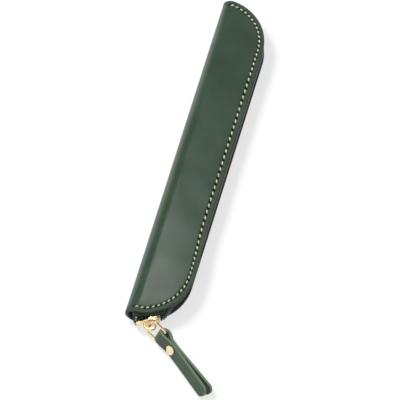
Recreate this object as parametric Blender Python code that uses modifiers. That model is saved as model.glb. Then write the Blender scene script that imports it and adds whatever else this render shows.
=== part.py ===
"""A slim zippered pencil pouch: one folded leather sheet, a zip round three sides and a strap pull.

X runs across the pouch from the folded spine to the zip, Y along it, Z up from the back panel.
"""

import math

import bmesh
import bpy
from mathutils import Matrix, Vector
from mathutils.geometry import interpolate_bezier

# Leather body
POUCH_LENGTH = 0.200
POUCH_WIDTH = 0.030
POUCH_HEIGHT = 0.0145
LEATHER = 0.0018
CORNER_RADIUS = 0.0275
CORNER_STEPS = 16
SPINE_STEPS = 8

# Clearances and cuts
CLEARANCE = 0.0003
OVERRUN = 0.004
MERGE = 0.00001

# Seams
SEAM_INSET = 0.0028
SEAM_FROM_SPINE = 0.0045
THREAD_RADIUS = 0.0003
THREAD_SINK = 0.00035
THREAD_STRAIGHT_STEPS = 6

# Zip tapes and chain
TAPE = 0.0004
TAPE_FROM_SPINE = 0.0028
TAPE_FLANGE = 0.0070
TAPE_EDGE = 0.0010
ZIP_INSET = 0.0009
COIL_THICKNESS = 0.0012
COIL_OUTER = 0.0030
COIL_ROOT = 0.0014
COIL_TIP = 0.0004
COIL_TIP_WIDTH = 0.0002
COIL_PITCH = 0.00145
MOUTH_SPREAD = 0.0014
REJOIN_ANGLE = math.radians(62)
LEAD_HANDLE_SHARE = 0.34
CHAIN_FROM_NOSE = 0.0012
ZIP_STEPS = 8
STOP_LENGTH = 0.0014
STOP_ROUNDING = 0.0002
BOTTOM_STOP_LENGTH = 0.0022
TAPE_BEYOND_STOP = 0.0010

# Slider
SLIDER_LENGTH = 0.0132
SLIDER_WIDTH = 0.0086
SLIDER_TAIL_WIDTH = 0.0080
SLIDER_NOSE_WIDTH = 0.0050
SLIDER_WALL = 0.0012
INNER_WING_WIDTH = 0.0070
SLIDER_FROM_SPINE = 0.0131
SLIDER_TILT = math.radians(2)
SLIDER_STAND_OUT = 0.0024
SLIDER_SHOULDER = 0.0050
NOSE_SHARES = ((0.0, 0.0), (0.06, 0.40), (0.26, 0.75), (0.58, 0.95), (1.0, 1.0))
FLANGE_START = 0.0002
FLANGE_STRAIGHT_FROM = 0.0020
SPREAD_START = 0.0018
SPREAD_END = 0.0036
DIAMOND_WIDTH = 0.0011
DIAMOND_TIP_WIDTH = 0.0002
DIAMOND_LENGTH = 0.0046
DIAMOND_SHOULDER = 0.0026
CROWN_WIDTH = 0.0026
CROWN_CENTRE = 0.0007
CROWN_HOLE_LENGTH = 0.0048
CROWN_HOLE_HEIGHT = 0.0032
CROWN_WALL = 0.0011

# Wire bail
BAIL_WIRE = 0.0015
BAIL_WIDTH = 0.0089
BAIL_LENGTH = 0.0094
BAIL_CORNER = 0.0017
BAIL_CORNER_STEPS = 4
BAIL_LEAN = math.radians(30)
BAIL_LEAN_AZIMUTH = math.radians(49)
BAIL_AZIMUTH = math.radians(-32)

# Strap and rivet
STRAP_WIDTH = 0.0068
STRAP_LEATHER = 0.0017
STRAP_LENGTH = 0.0414
STRAP_NECK = 0.0058
STRAP_SLACK = 0.0014
STRAP_SHIFT = 0.0011
STRAP_TIP_GAP = 0.0026
STRAP_SPLAY_FROM = 0.0130
STRAP_SPLAY_POWER = 1.15
STRAP_TIP_STEPS = 5
STRAP_LAYER_STEPS = 14
STRAP_LOOP_STEPS = 10
STRAP_AZIMUTH = math.radians(-39)
RIVET_PLACE = 0.0087
RIVET_RADIUS = 0.0028
RIVET_HEIGHT = 0.0012
RIVET_RIM = 0.0004
RIVET_STEM = 0.0009
RIVET_SOCKET = 0.0012
RIVET_COLLAR = 0.0016
RIVET_STEPS = 32

MID_HEIGHT = POUCH_HEIGHT / 2
SPINE_X = -POUCH_WIDTH / 2
CORNER_X = POUCH_WIDTH / 2 - CORNER_RADIUS
CORNER_Y = POUCH_LENGTH / 2 - CORNER_RADIUS
UP = Vector((0, 0, 1))


def start_scene():
    """Empties the scene and gives the collections for the parts and for their cutters."""
    for obj in list(bpy.data.objects):
        bpy.data.objects.remove(obj, do_unlink=True)
    found = []
    for name in ("pencil_pouch", "cutters"):
        collection = bpy.data.collections.new(name)
        bpy.context.scene.collection.children.link(collection)
        found.append(collection)
    return found


PARTS, CUTTERS = start_scene()


def material(name, colour, roughness, metallic=0.0):
    made = bpy.data.materials.new(name)
    made.use_nodes = True
    shader = made.node_tree.nodes["Principled BSDF"]
    shader.inputs["Base Color"].default_value = (*colour, 1.0)
    shader.inputs["Roughness"].default_value = roughness
    shader.inputs["Metallic"].default_value = metallic
    made.diffuse_color = (*colour, 1.0)
    return made


GREEN_LEATHER = material("green_leather", (0.05, 0.09, 0.065), 0.42)
GREEN_TAPE = material("green_tape", (0.012, 0.025, 0.017), 0.85)
GREEN_NYLON = material("green_nylon", (0.015, 0.03, 0.02), 0.45)
CREAM_THREAD = material("cream_thread", (0.55, 0.52, 0.36), 0.7)
GOLD_METAL = material("gold_metal", (0.83, 0.62, 0.28), 0.18, 1.0)


def as_part(obj, finish):
    """Puts a finished object in the parts collection, with its material."""
    for collection in list(obj.users_collection):
        collection.objects.unlink(obj)
    PARTS.objects.link(obj)
    obj.data.materials.clear()
    obj.data.materials.append(finish)
    return obj


def as_cutter(obj):
    for collection in list(obj.users_collection):
        collection.objects.unlink(obj)
    CUTTERS.objects.link(obj)
    obj.hide_render = True
    obj.display_type = "WIRE"
    return obj


def mesh_object(name, bm):
    """An object of a finished edit mesh, kept with the cutters until it is a part."""
    mesh = bpy.data.meshes.new(name)
    bm.to_mesh(mesh)
    bm.free()
    obj = bpy.data.objects.new(name, mesh)
    CUTTERS.objects.link(obj)
    return obj


def curve_to_mesh(obj):
    """Turns a curve object into a mesh object with its caps welded on."""
    bpy.context.view_layer.update()
    evaluated = obj.evaluated_get(bpy.context.evaluated_depsgraph_get())
    mesh = bpy.data.meshes.new_from_object(evaluated)
    bm = bmesh.new()
    bm.from_mesh(mesh)
    bmesh.ops.remove_doubles(bm, verts=bm.verts, dist=MERGE)
    bm.to_mesh(mesh)
    bm.free()
    made = bpy.data.objects.new(obj.name + "_mesh", mesh)
    made.matrix_world = obj.matrix_world.copy()
    CUTTERS.objects.link(made)
    name = obj.name
    bpy.data.objects.remove(obj, do_unlink=True)
    made.name = name
    return made


def tube(name, points, radius, resolution=1, cyclic=False):
    """A round tube along the points, with closed ends."""
    curve = bpy.data.curves.new(name, "CURVE")
    curve.dimensions = "3D"
    curve.bevel_depth = radius
    curve.bevel_resolution = resolution
    curve.use_fill_caps = not cyclic
    spline = curve.splines.new("POLY")
    spline.points.add(len(points) - 1)
    for slot, point in zip(spline.points, points):
        slot.co = (*point, 1.0)
    spline.use_cyclic_u = cyclic
    obj = bpy.data.objects.new(name, curve)
    CUTTERS.objects.link(obj)
    return curve_to_mesh(obj)


def plate(name, loops, thickness, middle=0.0):
    """A flat plate of the given outlines in X and Y, the first the outer edge and the rest its holes."""
    curve = bpy.data.curves.new(name, "CURVE")
    curve.dimensions = "2D"
    curve.fill_mode = "BOTH"
    curve.extrude = thickness / 2
    for loop in loops:
        spline = curve.splines.new("POLY")
        spline.points.add(len(loop) - 1)
        for slot, point in zip(spline.points, loop):
            slot.co = (point[0], point[1], 0.0, 1.0)
        spline.use_cyclic_u = True
    obj = bpy.data.objects.new(name, curve)
    CUTTERS.objects.link(obj)
    made = curve_to_mesh(obj)
    made.data.transform(Matrix.Translation((0, 0, middle)))
    return made


def strip(name, rows, outward):
    """An open surface: the first row of points drawn out to each next row, facing the outward direction."""
    bm = bmesh.new()
    verts = [bm.verts.new(point) for point in rows[0]]
    edges = [bm.edges.new(pair) for pair in zip(verts, verts[1:])]
    for row in rows[1:]:
        drawn = bmesh.ops.extrude_edge_only(bm, edges=edges)["geom"]
        new_verts = [item for item in drawn if isinstance(item, bmesh.types.BMVert)]
        edges = [item for item in drawn if isinstance(item, bmesh.types.BMEdge) and item.is_boundary]
        edges = [edge for edge in edges if all(vert in new_verts for vert in edge.verts)]
        chain = ordered_chain(edges, new_verts, verts)
        for vert, point in zip(chain, row):
            vert.co = point
        verts = chain
    bm.normal_update()
    if sum(face.normal.dot(outward) * face.calc_area() for face in bm.faces) < 0:
        bmesh.ops.reverse_faces(bm, faces=bm.faces)
    return mesh_object(name, bm)


def ordered_chain(edges, new_verts, old_verts):
    """The drawn out vertices in the order of the row that they came from."""
    partner = {}
    for vert in new_verts:
        for edge in vert.link_edges:
            other = edge.other_vert(vert)
            if other not in new_verts:
                partner[other] = vert
    return [partner[vert] for vert in old_verts]


def add_solidify(obj, thickness, offset):
    shell = obj.modifiers.new("wall", "SOLIDIFY")
    shell.thickness = thickness
    shell.offset = offset
    shell.use_even_offset = True
    return obj


def cut(obj, cutter, operation="DIFFERENCE"):
    step = obj.modifiers.new(cutter.name, "BOOLEAN")
    step.operation = operation
    step.solver = "EXACT"
    step.object = as_cutter(cutter)
    return obj


def turned(name, profile):
    """A body turned about Z, from a profile of radius and height that runs down from the axis."""
    bm = bmesh.new()
    verts = [bm.verts.new((radius, 0, height)) for radius, height in profile]
    for pair in zip(verts, verts[1:]):
        bm.edges.new(pair)
    obj = mesh_object(name, bm)
    screw = obj.modifiers.new("turn", "SCREW")
    screw.steps = RIVET_STEPS
    screw.render_steps = RIVET_STEPS
    screw.use_merge_vertices = True
    screw.merge_threshold = MERGE
    screw.use_smooth_shade = True
    return obj


def corner_point(radius, angle):
    """A point in plan about the centre of the bottom corner; the angle runs from the bottom end's side."""
    return Vector((CORNER_X + radius * math.sin(angle), -CORNER_Y - radius * math.cos(angle), 0))


def outline(inset, from_spine):
    """The open edge of a panel in plan, from its bottom end at the spine round to its top end."""
    radius = CORNER_RADIUS - inset
    start_x = SPINE_X + from_spine
    first = math.asin(min(max((start_x - CORNER_X) / radius, 0.0), 1.0))
    angles = [first + (math.pi / 2 - first) * step / CORNER_STEPS for step in range(CORNER_STEPS + 1)]
    bottom = [corner_point(radius, angle) for angle in angles]
    if start_x < CORNER_X:
        bottom.insert(0, Vector((start_x, -POUCH_LENGTH / 2 + inset, 0)))
    top = [Vector((point.x, -point.y, 0)) for point in reversed(bottom)]
    return bottom + top


def layer_rise(x, depth):
    """Height above the mid plane of a layer at x that lies a given depth under the outer face."""
    run = max(SPINE_X + MID_HEIGHT - x, 0.0)
    radius = MID_HEIGHT - depth
    return math.sqrt(max(radius * radius - run * run, 0.0))


def half_height(side, rise):
    """Height above the table, where side is 1 for the front panel and -1 for the back one."""
    return MID_HEIGHT + side * rise


def seam_path(side, depth):
    """The stitch line, at a given depth under the outer face of one panel."""
    points = []
    plan = outline(SEAM_INSET, SEAM_FROM_SPINE)
    for first, second in zip(plan, plan[1:]):
        straight = max(abs(first.y), abs(second.y)) < CORNER_Y + MERGE
        steps = THREAD_STRAIGHT_STEPS if straight else 1
        points += [first.lerp(second, step / steps) for step in range(steps)]
    points.append(plan[-1])
    return [Vector((p.x, p.y, half_height(side, layer_rise(p.x, depth)))) for p in points]


def leather_half(name, side):
    """One panel with its half of the folded spine, cut to the plan outline and grooved for its seam."""
    angles = [math.pi / 2 * step / SPINE_STEPS for step in range(-1, SPINE_STEPS + 1)]
    section = [(SPINE_X + MID_HEIGHT * (1 - math.cos(a)), MID_HEIGHT * math.sin(a)) for a in angles]
    section.append((POUCH_WIDTH / 2 + OVERRUN, MID_HEIGHT))
    end = POUCH_LENGTH / 2 + OVERRUN
    rows = [[Vector((x, y, half_height(side, rise))) for x, rise in section] for y in (-end, end)]
    panel = strip(name, rows, UP * side)
    add_solidify(panel, LEATHER, -1)
    plan = outline(0.0, 0.0)
    plan = [Vector((SPINE_X - OVERRUN, plan[0].y, 0))] + plan + [Vector((SPINE_X - OVERRUN, plan[-1].y, 0))]
    room = MID_HEIGHT + OVERRUN - CLEARANCE / 2
    middle = half_height(side, (MID_HEIGHT + OVERRUN + CLEARANCE / 2) / 2)
    cut(panel, plate(name + "_plan", [plan], room, middle), "INTERSECT")
    groove = tube(name + "_groove", seam_path(side, THREAD_SINK), THREAD_RADIUS + CLEARANCE)
    cut(panel, groove)
    return as_part(panel, GREEN_LEATHER)


def seam_threads(side, suffix):
    """The thread on the outer face of a panel and the bobbin thread on the inner face of its tape."""
    as_part(tube("seam_thread_" + suffix, seam_path(side, THREAD_SINK), THREAD_RADIUS), CREAM_THREAD)
    depth = LEATHER + CLEARANCE + TAPE + CLEARANCE + THREAD_RADIUS
    as_part(tube("bobbin_thread_" + suffix, seam_path(side, depth), THREAD_RADIUS), CREAM_THREAD)


def slider_angle():
    """Angle round the corner at which the slider stands, at its distance from the spine."""
    run = SPINE_X + SLIDER_FROM_SPINE - CORNER_X
    return math.asin(run / (CORNER_RADIUS + SLIDER_STAND_OUT))


def slider_centre():
    """Middle of the chain inside the slider."""
    return corner_point(CORNER_RADIUS + SLIDER_STAND_OUT, slider_angle()) + UP * MID_HEIGHT


def slider_axis():
    """Direction of the chain through the slider, from its nose towards its tail."""
    turn = slider_angle() + SLIDER_TILT
    return Vector((math.cos(turn), math.sin(turn), 0))


def zip_path():
    """Middle line of the coil in plan: it bows out to run straight through the slider."""
    radius = CORNER_RADIUS - ZIP_INSET
    start = Vector((SPINE_X + TAPE_FROM_SPINE, -POUCH_LENGTH / 2 + ZIP_INSET, 0))
    centre = slider_centre() - UP * MID_HEIGHT
    axis = slider_axis()
    mouth_reach = SLIDER_LENGTH / 2 - CHAIN_FROM_NOSE + STOP_LENGTH + 2 * CLEARANCE
    nose = centre - axis * mouth_reach
    tail = centre + axis * (SLIDER_LENGTH / 2 + CLEARANCE)
    join = corner_point(radius, REJOIN_ANGLE)
    join_way = Vector((math.cos(REJOIN_ANGLE), math.sin(REJOIN_ANGLE), 0))
    lead = (nose - start).length * LEAD_HANDLE_SHARE
    out_way = Vector((1, -1, 0)).normalized()
    entry = interpolate_bezier(start, start + out_way * lead, nose - axis * lead, nose, ZIP_STEPS)
    swing = (join - tail).length * LEAD_HANDLE_SHARE
    rejoin = interpolate_bezier(tail, tail + axis * swing, join - join_way * swing, join, ZIP_STEPS)
    turn = math.pi / 2 - REJOIN_ANGLE
    arc = [corner_point(radius, REJOIN_ANGLE + turn * step / ZIP_STEPS) for step in range(1, ZIP_STEPS + 1)]
    top = [point for point in outline(ZIP_INSET, TAPE_FROM_SPINE) if point.y > 0]
    return entry, rejoin + arc + top


def way_at(points, index):
    """Direction of a path at one of its points."""
    before = points[max(index - 1, 0)]
    after = points[min(index + 1, len(points) - 1)]
    return (after - before).normalized()


def inset_foot(point, inset):
    """The point of the drawn in outline that lies straight inside a point of the open edge."""
    if abs(point.y) <= CORNER_Y:
        return Vector((POUCH_WIDTH / 2 - inset, point.y, 0))
    radius = CORNER_RADIUS - inset
    end = math.copysign(1, point.y)
    angle = math.atan2(point.x - CORNER_X, abs(point.y) - CORNER_Y)
    if angle < 0:
        return Vector((point.x, end * (CORNER_Y + radius), 0))
    return Vector((CORNER_X + radius * math.sin(angle), end * (CORNER_Y + radius * math.cos(angle)), 0))


def zip_tape(name, side):
    """A woven tape: a web that carries the coil, and a flange that follows the leather under the stitches."""
    entry, rest = zip_path()
    path = entry + rest
    depth = LEATHER + CLEARANCE + TAPE / 2
    edge, bend, seam, sewn = [], [], [], []
    for index, point in enumerate(path):
        inward = UP.cross(way_at(path, index))
        web = point + inward * (COIL_THICKNESS / 2 + CLEARANCE + TAPE / 2)
        stitched = inset_foot(web, SEAM_INSET)
        foot = inset_foot(web, ZIP_INSET + TAPE_FLANGE)
        edge.append(Vector((web.x, web.y, half_height(side, TAPE_EDGE))))
        bend.append(Vector((web.x, web.y, half_height(side, layer_rise(web.x, depth)))))
        seam.append(Vector((stitched.x, stitched.y, half_height(side, layer_rise(stitched.x, depth)))))
        sewn.append(Vector((foot.x, foot.y, half_height(side, layer_rise(foot.x, depth)))))
    tape = strip(name, [edge, bend, seam, sewn], UP * side)
    add_solidify(tape, TAPE, 0)
    return as_part(tape, GREEN_TAPE)


def spread(along):
    """How far the slider's mouth holds a row from the mid plane, at a place along the slider."""
    share = (SPREAD_START - along) / (SPREAD_START + SPREAD_END)
    share = min(max(share, 0.0), 1.0)
    return MOUTH_SPREAD * share * share * (3 - 2 * share)


def coil_guide(name, side):
    """The line that one row follows: apart inside the slider's mouth, meshed everywhere else."""
    rest = zip_path()[1]
    first = -SLIDER_LENGTH / 2 + CHAIN_FROM_NOSE
    last = SLIDER_LENGTH / 2 + CLEARANCE
    steps = [first + (last - first) * step / CORNER_STEPS for step in range(CORNER_STEPS)]
    points = [slider_centre() + slider_axis() * u + UP * side * spread(u) for u in steps]
    points += [point + UP * MID_HEIGHT for point in rest]
    curve = bpy.data.curves.new(name, "CURVE")
    curve.dimensions = "3D"
    curve.twist_mode = "Z_UP"
    spline = curve.splines.new("POLY")
    spline.points.add(len(points) - 1)
    for slot, point in zip(spline.points, points):
        slot.co = (*point, 1.0)
    guide = bpy.data.objects.new(name, curve)
    CUTTERS.objects.link(guide)
    length = sum((second - first).length for first, second in zip(points, points[1:]))
    return as_cutter(guide), points, length


def chain_count(length):
    """Number of teeth that fit between the slider's mouth and the bottom stop."""
    return int((length - TAPE_BEYOND_STOP - BOTTOM_STOP_LENGTH - CLEARANCE) / COIL_PITCH)


def zip_coil(name, side):
    """A row of teeth, drawn straight and then bent along its guide. The rows are half a pitch apart."""
    guide, _, length = coil_guide(name + "_guide", side)
    shift = COIL_PITCH / 2 if side > 0 else 0.0
    middle = COIL_PITCH / 2
    tooth = ((0, COIL_OUTER), (0, COIL_ROOT), (middle - COIL_TIP_WIDTH / 2, -COIL_TIP),
             (middle + COIL_TIP_WIDTH / 2, -COIL_TIP), (COIL_PITCH, COIL_ROOT), (COIL_PITCH, COIL_OUTER))
    bm = bmesh.new()
    flat = bm.faces.new([bm.verts.new((shift + x, -COIL_THICKNESS / 2, side * z)) for x, z in tooth])
    drawn = bmesh.ops.extrude_face_region(bm, geom=[flat], use_keep_orig=True)["geom"]
    far = [item for item in drawn if isinstance(item, bmesh.types.BMVert)]
    bmesh.ops.translate(bm, verts=far, vec=(0, COIL_THICKNESS, 0))
    ends = [face for face in bm.faces if is_end_face(face)]
    bmesh.ops.delete(bm, geom=ends, context="FACES")
    cell = bm.verts[:] + bm.edges[:] + bm.faces[:]
    for index in range(1, chain_count(length)):
        copied = bmesh.ops.duplicate(bm, geom=cell)["geom"]
        moved = [item for item in copied if isinstance(item, bmesh.types.BMVert)]
        bmesh.ops.translate(bm, verts=moved, vec=(COIL_PITCH * index, 0, 0))
    bmesh.ops.remove_doubles(bm, verts=bm.verts, dist=MERGE)
    bmesh.ops.holes_fill(bm, edges=bm.edges, sides=4)
    bmesh.ops.recalc_face_normals(bm, faces=bm.faces)
    row = mesh_object(name, bm)
    bend = row.modifiers.new("bend", "CURVE")
    bend.object = guide
    bend.deform_axis = "POS_X"
    return as_part(row, GREEN_NYLON)


def is_end_face(face):
    """True for the faces that close a cell of the row at its two ends."""
    face.normal_update()
    return len(face.verts) == 4 and abs(face.normal.x) > abs(face.normal.z) and spans_outer(face)


def spans_outer(face):
    heights = [abs(vert.co.z) for vert in face.verts]
    return max(heights) > COIL_OUTER - MERGE and min(heights) > COIL_ROOT - MERGE


def block(name, size, matrix, rounding):
    """A small block with rounded edges, placed by a matrix."""
    bm = bmesh.new()
    bmesh.ops.create_cube(bm, size=1.0)
    bmesh.ops.scale(bm, verts=bm.verts, vec=size)
    obj = mesh_object(name, bm)
    obj.matrix_world = matrix
    soft = obj.modifiers.new("edges", "BEVEL")
    soft.width = rounding
    soft.segments = 1
    return obj


def slider_frame():
    """Place of the slider: X runs to its tail, Y up and Z out of the pouch."""
    axis = slider_axis()
    return Matrix.Translation(slider_centre()) @ Matrix((axis, UP, axis.cross(UP))).transposed().to_4x4()


def zip_stops():
    """Moulded stops: one on each tape in the slider's mouth, and one across both rows at the other end."""
    inner = TAPE_EDGE
    outer = COIL_OUTER + MOUTH_SPREAD
    along = -SLIDER_LENGTH / 2 + CHAIN_FROM_NOSE - CLEARANCE - STOP_LENGTH / 2
    stops = []
    for side, suffix in ((1, "front"), (-1, "back")):
        place = slider_frame() @ Matrix.Translation((along, side * (inner + outer) / 2, 0))
        size = (STOP_LENGTH, outer - inner, COIL_THICKNESS)
        stops.append(as_part(block("top_stop_" + suffix, size, place, STOP_ROUNDING), GREEN_NYLON))
    _, points, length = coil_guide("bottom_stop_guide", 1)
    row_end = chain_count(length) * COIL_PITCH + COIL_PITCH / 2
    spot, way = along_path(points, row_end + CLEARANCE + BOTTOM_STOP_LENGTH / 2)
    frame = Matrix.Translation(spot) @ Matrix((way, UP, way.cross(UP))).transposed().to_4x4()
    size = (BOTTOM_STOP_LENGTH, 2 * COIL_OUTER, COIL_THICKNESS)
    stops.append(as_part(block("bottom_stop", size, frame, STOP_ROUNDING), GREEN_NYLON))
    return stops


def along_path(points, distance):
    """The point at a distance along a path, and the path's direction there."""
    for first, second in zip(points, points[1:]):
        step = second - first
        if distance <= step.length:
            return first + step.normalized() * distance, step.normalized()
        distance -= step.length
    return points[-1], (points[-1] - points[-2]).normalized()


def wing_outline(width, tail_width):
    """Outline of a wing of the slider, rounded at its nose and narrower at its tail."""
    half = SLIDER_LENGTH / 2
    nose = SLIDER_NOSE_WIDTH / 2
    rise = width / 2 - nose
    upper = [(-half + SLIDER_SHOULDER * along, nose + rise * out) for along, out in NOSE_SHARES]
    upper.append((half, tail_width / 2))
    return upper + [(x, -y) for x, y in reversed(upper)]


def crown_outline():
    """Side view of the crown: an arch on the outer wing that the bail passes through."""
    face = COIL_THICKNESS / 2 + CLEARANCE + SLIDER_WALL
    foot = face - SLIDER_WALL / 2
    top = face + CROWN_HOLE_HEIGHT
    half = CROWN_HOLE_LENGTH / 2
    inner = rounded_arch(half, foot, top, CROWN_WALL / 2)
    outer = rounded_arch(half + CROWN_WALL, foot, top + CROWN_WALL, CROWN_WALL * 3 / 2)
    return [(x + CROWN_CENTRE, y) for x, y in outer + inner[::-1]]


def rounded_arch(half, foot, top, rounding):
    """The three sides of an arch, from its left foot to its right one, with rounded shoulders."""
    left = []
    for step in range(SPINE_STEPS // 2 + 1):
        turn = math.pi * step / SPINE_STEPS
        left.append((-half + rounding * (1 - math.cos(turn)), top - rounding * (1 - math.sin(turn))))
    left.insert(0, (-half, foot))
    return left + [(-x, y) for x, y in reversed(left)]


def slider_body():
    """The cast slider: two wings joined by a diamond at the nose, two flanges and the crown."""
    out_face = COIL_THICKNESS / 2 + CLEARANCE
    in_face = COIL_THICKNESS / 2 + 2 * CLEARANCE + TAPE
    half = SLIDER_LENGTH / 2
    body = plate("slider_body", [wing_outline(SLIDER_WIDTH, SLIDER_TAIL_WIDTH)], SLIDER_WALL,
                 out_face + SLIDER_WALL / 2)
    inner = plate("inner_wing", [wing_outline(INNER_WING_WIDTH, INNER_WING_WIDTH)], SLIDER_WALL,
                  -in_face - SLIDER_WALL / 2)
    nose = -half + SLIDER_WALL / 2
    diamond = [(nose, DIAMOND_WIDTH / 2), (nose + DIAMOND_SHOULDER, DIAMOND_WIDTH / 2),
               (nose + DIAMOND_LENGTH, DIAMOND_TIP_WIDTH / 2)]
    diamond += [(x, -y) for x, y in reversed(diamond)]
    post = plate("diamond", [diamond], out_face + in_face + SLIDER_WALL, (out_face - in_face) / 2)
    pieces = [inner, post]
    for side in (1, -1):
        flange = flange_outline(side)
        depth = out_face + SLIDER_WALL / 2 + COIL_THICKNESS / 2
        pieces.append(plate("flange", [flange], depth, out_face + SLIDER_WALL / 2 - depth / 2))
    crown = plate("crown", [crown_outline()], CROWN_WIDTH)
    crown.data.transform(Matrix.Rotation(math.pi / 2, 4, "X"))
    pieces.append(crown)
    for piece in pieces:
        piece.matrix_world = slider_frame()
        cut(body, piece, "UNION")
    body.matrix_world = slider_frame()
    return as_part(body, GOLD_METAL)


def flange_outline(side):
    """Outline of a flange: its inner side clears the row, its outer side lies just inside the wing's."""
    half = SLIDER_LENGTH / 2
    taper = (SLIDER_WIDTH - SLIDER_TAIL_WIDTH) / 2 / (SLIDER_LENGTH - SLIDER_SHOULDER)
    points = []
    for x in (half, FLANGE_STRAIGHT_FROM, FLANGE_START):
        points.append((x - MERGE, COIL_OUTER + CLEARANCE + spread(x)))
    for x in (FLANGE_START, half):
        points.append((x - MERGE, SLIDER_TAIL_WIDTH / 2 + taper * (half - x) - MERGE))
    return [(x, side * y) for x, y in points]


def lean_way():
    """Direction of the bail's two bars, which lean from upright."""
    flat = Vector((math.cos(BAIL_LEAN_AZIMUTH), math.sin(BAIL_LEAN_AZIMUTH), 0))
    return flat * math.sin(BAIL_LEAN) + UP * math.cos(BAIL_LEAN)


def square_way(azimuth):
    """The direction of a given azimuth that is square to the bail's bars."""
    rise = -math.tan(BAIL_LEAN) * math.cos(BAIL_LEAN_AZIMUTH - azimuth)
    return Vector((math.cos(azimuth), math.sin(azimuth), rise)).normalized()


def pull_frame(spot, azimuth):
    """A frame at a spot: X along an azimuth, Z along the bail's bars."""
    along = square_way(azimuth)
    lean = lean_way()
    return Matrix.Translation(spot) @ Matrix((along, lean.cross(along), lean)).transposed().to_4x4()


def bail_pivot():
    """Middle of the bail's near bar, in the crown."""
    out = COIL_THICKNESS / 2 + CLEARANCE + SLIDER_WALL + CROWN_HOLE_HEIGHT / 2
    return slider_frame() @ Vector((CROWN_CENTRE, 0, out))


def strap_pivot():
    """Middle of the bail's far bar, in the strap's loop."""
    return bail_pivot() + square_way(BAIL_AZIMUTH) * BAIL_LENGTH


def pull_bail():
    """The wire frame that joins the crown to the strap."""
    half = BAIL_WIDTH / 2
    quarter = math.pi / 2
    corners = ((0, -half, 2 * quarter, 3 * quarter), (BAIL_LENGTH, -half, 3 * quarter, 4 * quarter),
               (BAIL_LENGTH, half, 0, quarter), (0, half, quarter, 2 * quarter))
    points = []
    for x, z, first, last in corners:
        middle_x = x + math.copysign(BAIL_CORNER, BAIL_LENGTH / 2 - x)
        middle_z = z - math.copysign(BAIL_CORNER, z)
        for step in range(BAIL_CORNER_STEPS + 1):
            turn = first + (last - first) * step / BAIL_CORNER_STEPS
            reach_x = BAIL_CORNER * math.cos(turn)
            reach_z = BAIL_CORNER * math.sin(turn)
            points.append((middle_x + reach_x, 0, middle_z + reach_z))
    bail = tube("pull_bail", points, BAIL_WIRE / 2, 2, cyclic=True)
    bail.matrix_world = pull_frame(bail_pivot(), BAIL_AZIMUTH)
    return as_part(bail, GOLD_METAL)


def strap_frame():
    """Place of the strap: its loose loop hangs on the bar off its middle."""
    return pull_frame(strap_pivot(), STRAP_AZIMUTH) @ Matrix.Translation((0, STRAP_SHIFT, 0))


def loop_radius():
    """Radius of the middle of the leather where it goes round the bail's bar with some slack."""
    return BAIL_WIRE / 2 + STRAP_SLACK + STRAP_LEATHER / 2


def layer_offset(x):
    """Distance of a strap layer's middle from the strap's mid plane, x along from the loop's middle."""
    loop = loop_radius()
    pinched = (STRAP_LEATHER + CLEARANCE) / 2
    if x < STRAP_NECK:
        share = x / STRAP_NECK
        return loop + (pinched - loop) * share * share * (3 - 2 * share)
    share = max((x - STRAP_SPLAY_FROM) / (STRAP_LENGTH - STRAP_SPLAY_FROM), 0.0)
    return pinched + STRAP_TIP_GAP / 2 * share ** STRAP_SPLAY_POWER


def strap_stations():
    """Places along one layer, from its rounded tip to the loop, with the half width at each."""
    half = STRAP_WIDTH / 2
    found = []
    for step in range(1, STRAP_TIP_STEPS + 1):
        turn = math.pi / 2 * step / STRAP_TIP_STEPS
        found.append((STRAP_LENGTH - half * (1 - math.cos(turn)), half * math.sin(turn)))
    last = found[-1][0]
    for step in range(1, STRAP_LAYER_STEPS):
        found.append((last * (1 - step / STRAP_LAYER_STEPS), half))
    return found


def pull_strap():
    """The leather strap, folded round the bail's far bar, with a hole through both layers for the rivet."""
    loop = loop_radius()
    stations = strap_stations()
    line = [(x, layer_offset(x), half) for x, half in stations]
    for step in range(STRAP_LOOP_STEPS + 1):
        turn = math.pi / 2 + math.pi * step / STRAP_LOOP_STEPS
        line.append((loop * math.cos(turn), loop * math.sin(turn), STRAP_WIDTH / 2))
    line += [(x, -layer_offset(x), half) for x, half in reversed(stations)]
    rows = [[Vector((x, y, sign * half)) for x, y, half in line] for sign in (-1, 1)]
    strap = strip("pull_strap", rows, Vector((0, 1, 0)))
    add_solidify(strap, STRAP_LEATHER, 0)
    strap.matrix_world = strap_frame()
    bm = bmesh.new()
    bmesh.ops.create_cone(bm, cap_ends=True, segments=RIVET_STEPS, radius1=RIVET_COLLAR + CLEARANCE,
                          radius2=RIVET_COLLAR + CLEARANCE, depth=STRAP_LEATHER * 2 + OVERRUN)
    hole = mesh_object("rivet_hole", bm)
    hole.matrix_world = rivet_frame()
    cut(strap, hole)
    return as_part(strap, GREEN_LEATHER)


def rivet_frame():
    """Place of the rivet: its Z stands out of the strap's upper face."""
    turn = Matrix.Rotation(math.pi / 2, 4, "X")
    return strap_frame() @ Matrix.Translation((RIVET_PLACE, 0, 0)) @ turn


def dome(base, sign):
    """Profile of a rivet's domed head from its axis to its rim; sign is 1 for up."""
    points = []
    for step in range(SPINE_STEPS + 1):
        turn = math.pi / 2 * (1 - step / SPINE_STEPS)
        rise = RIVET_RIM + (RIVET_HEIGHT - RIVET_RIM) * math.sin(turn)
        points.append((RIVET_RADIUS * math.cos(turn) if step else 0.0, base + sign * rise))
    return points


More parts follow.
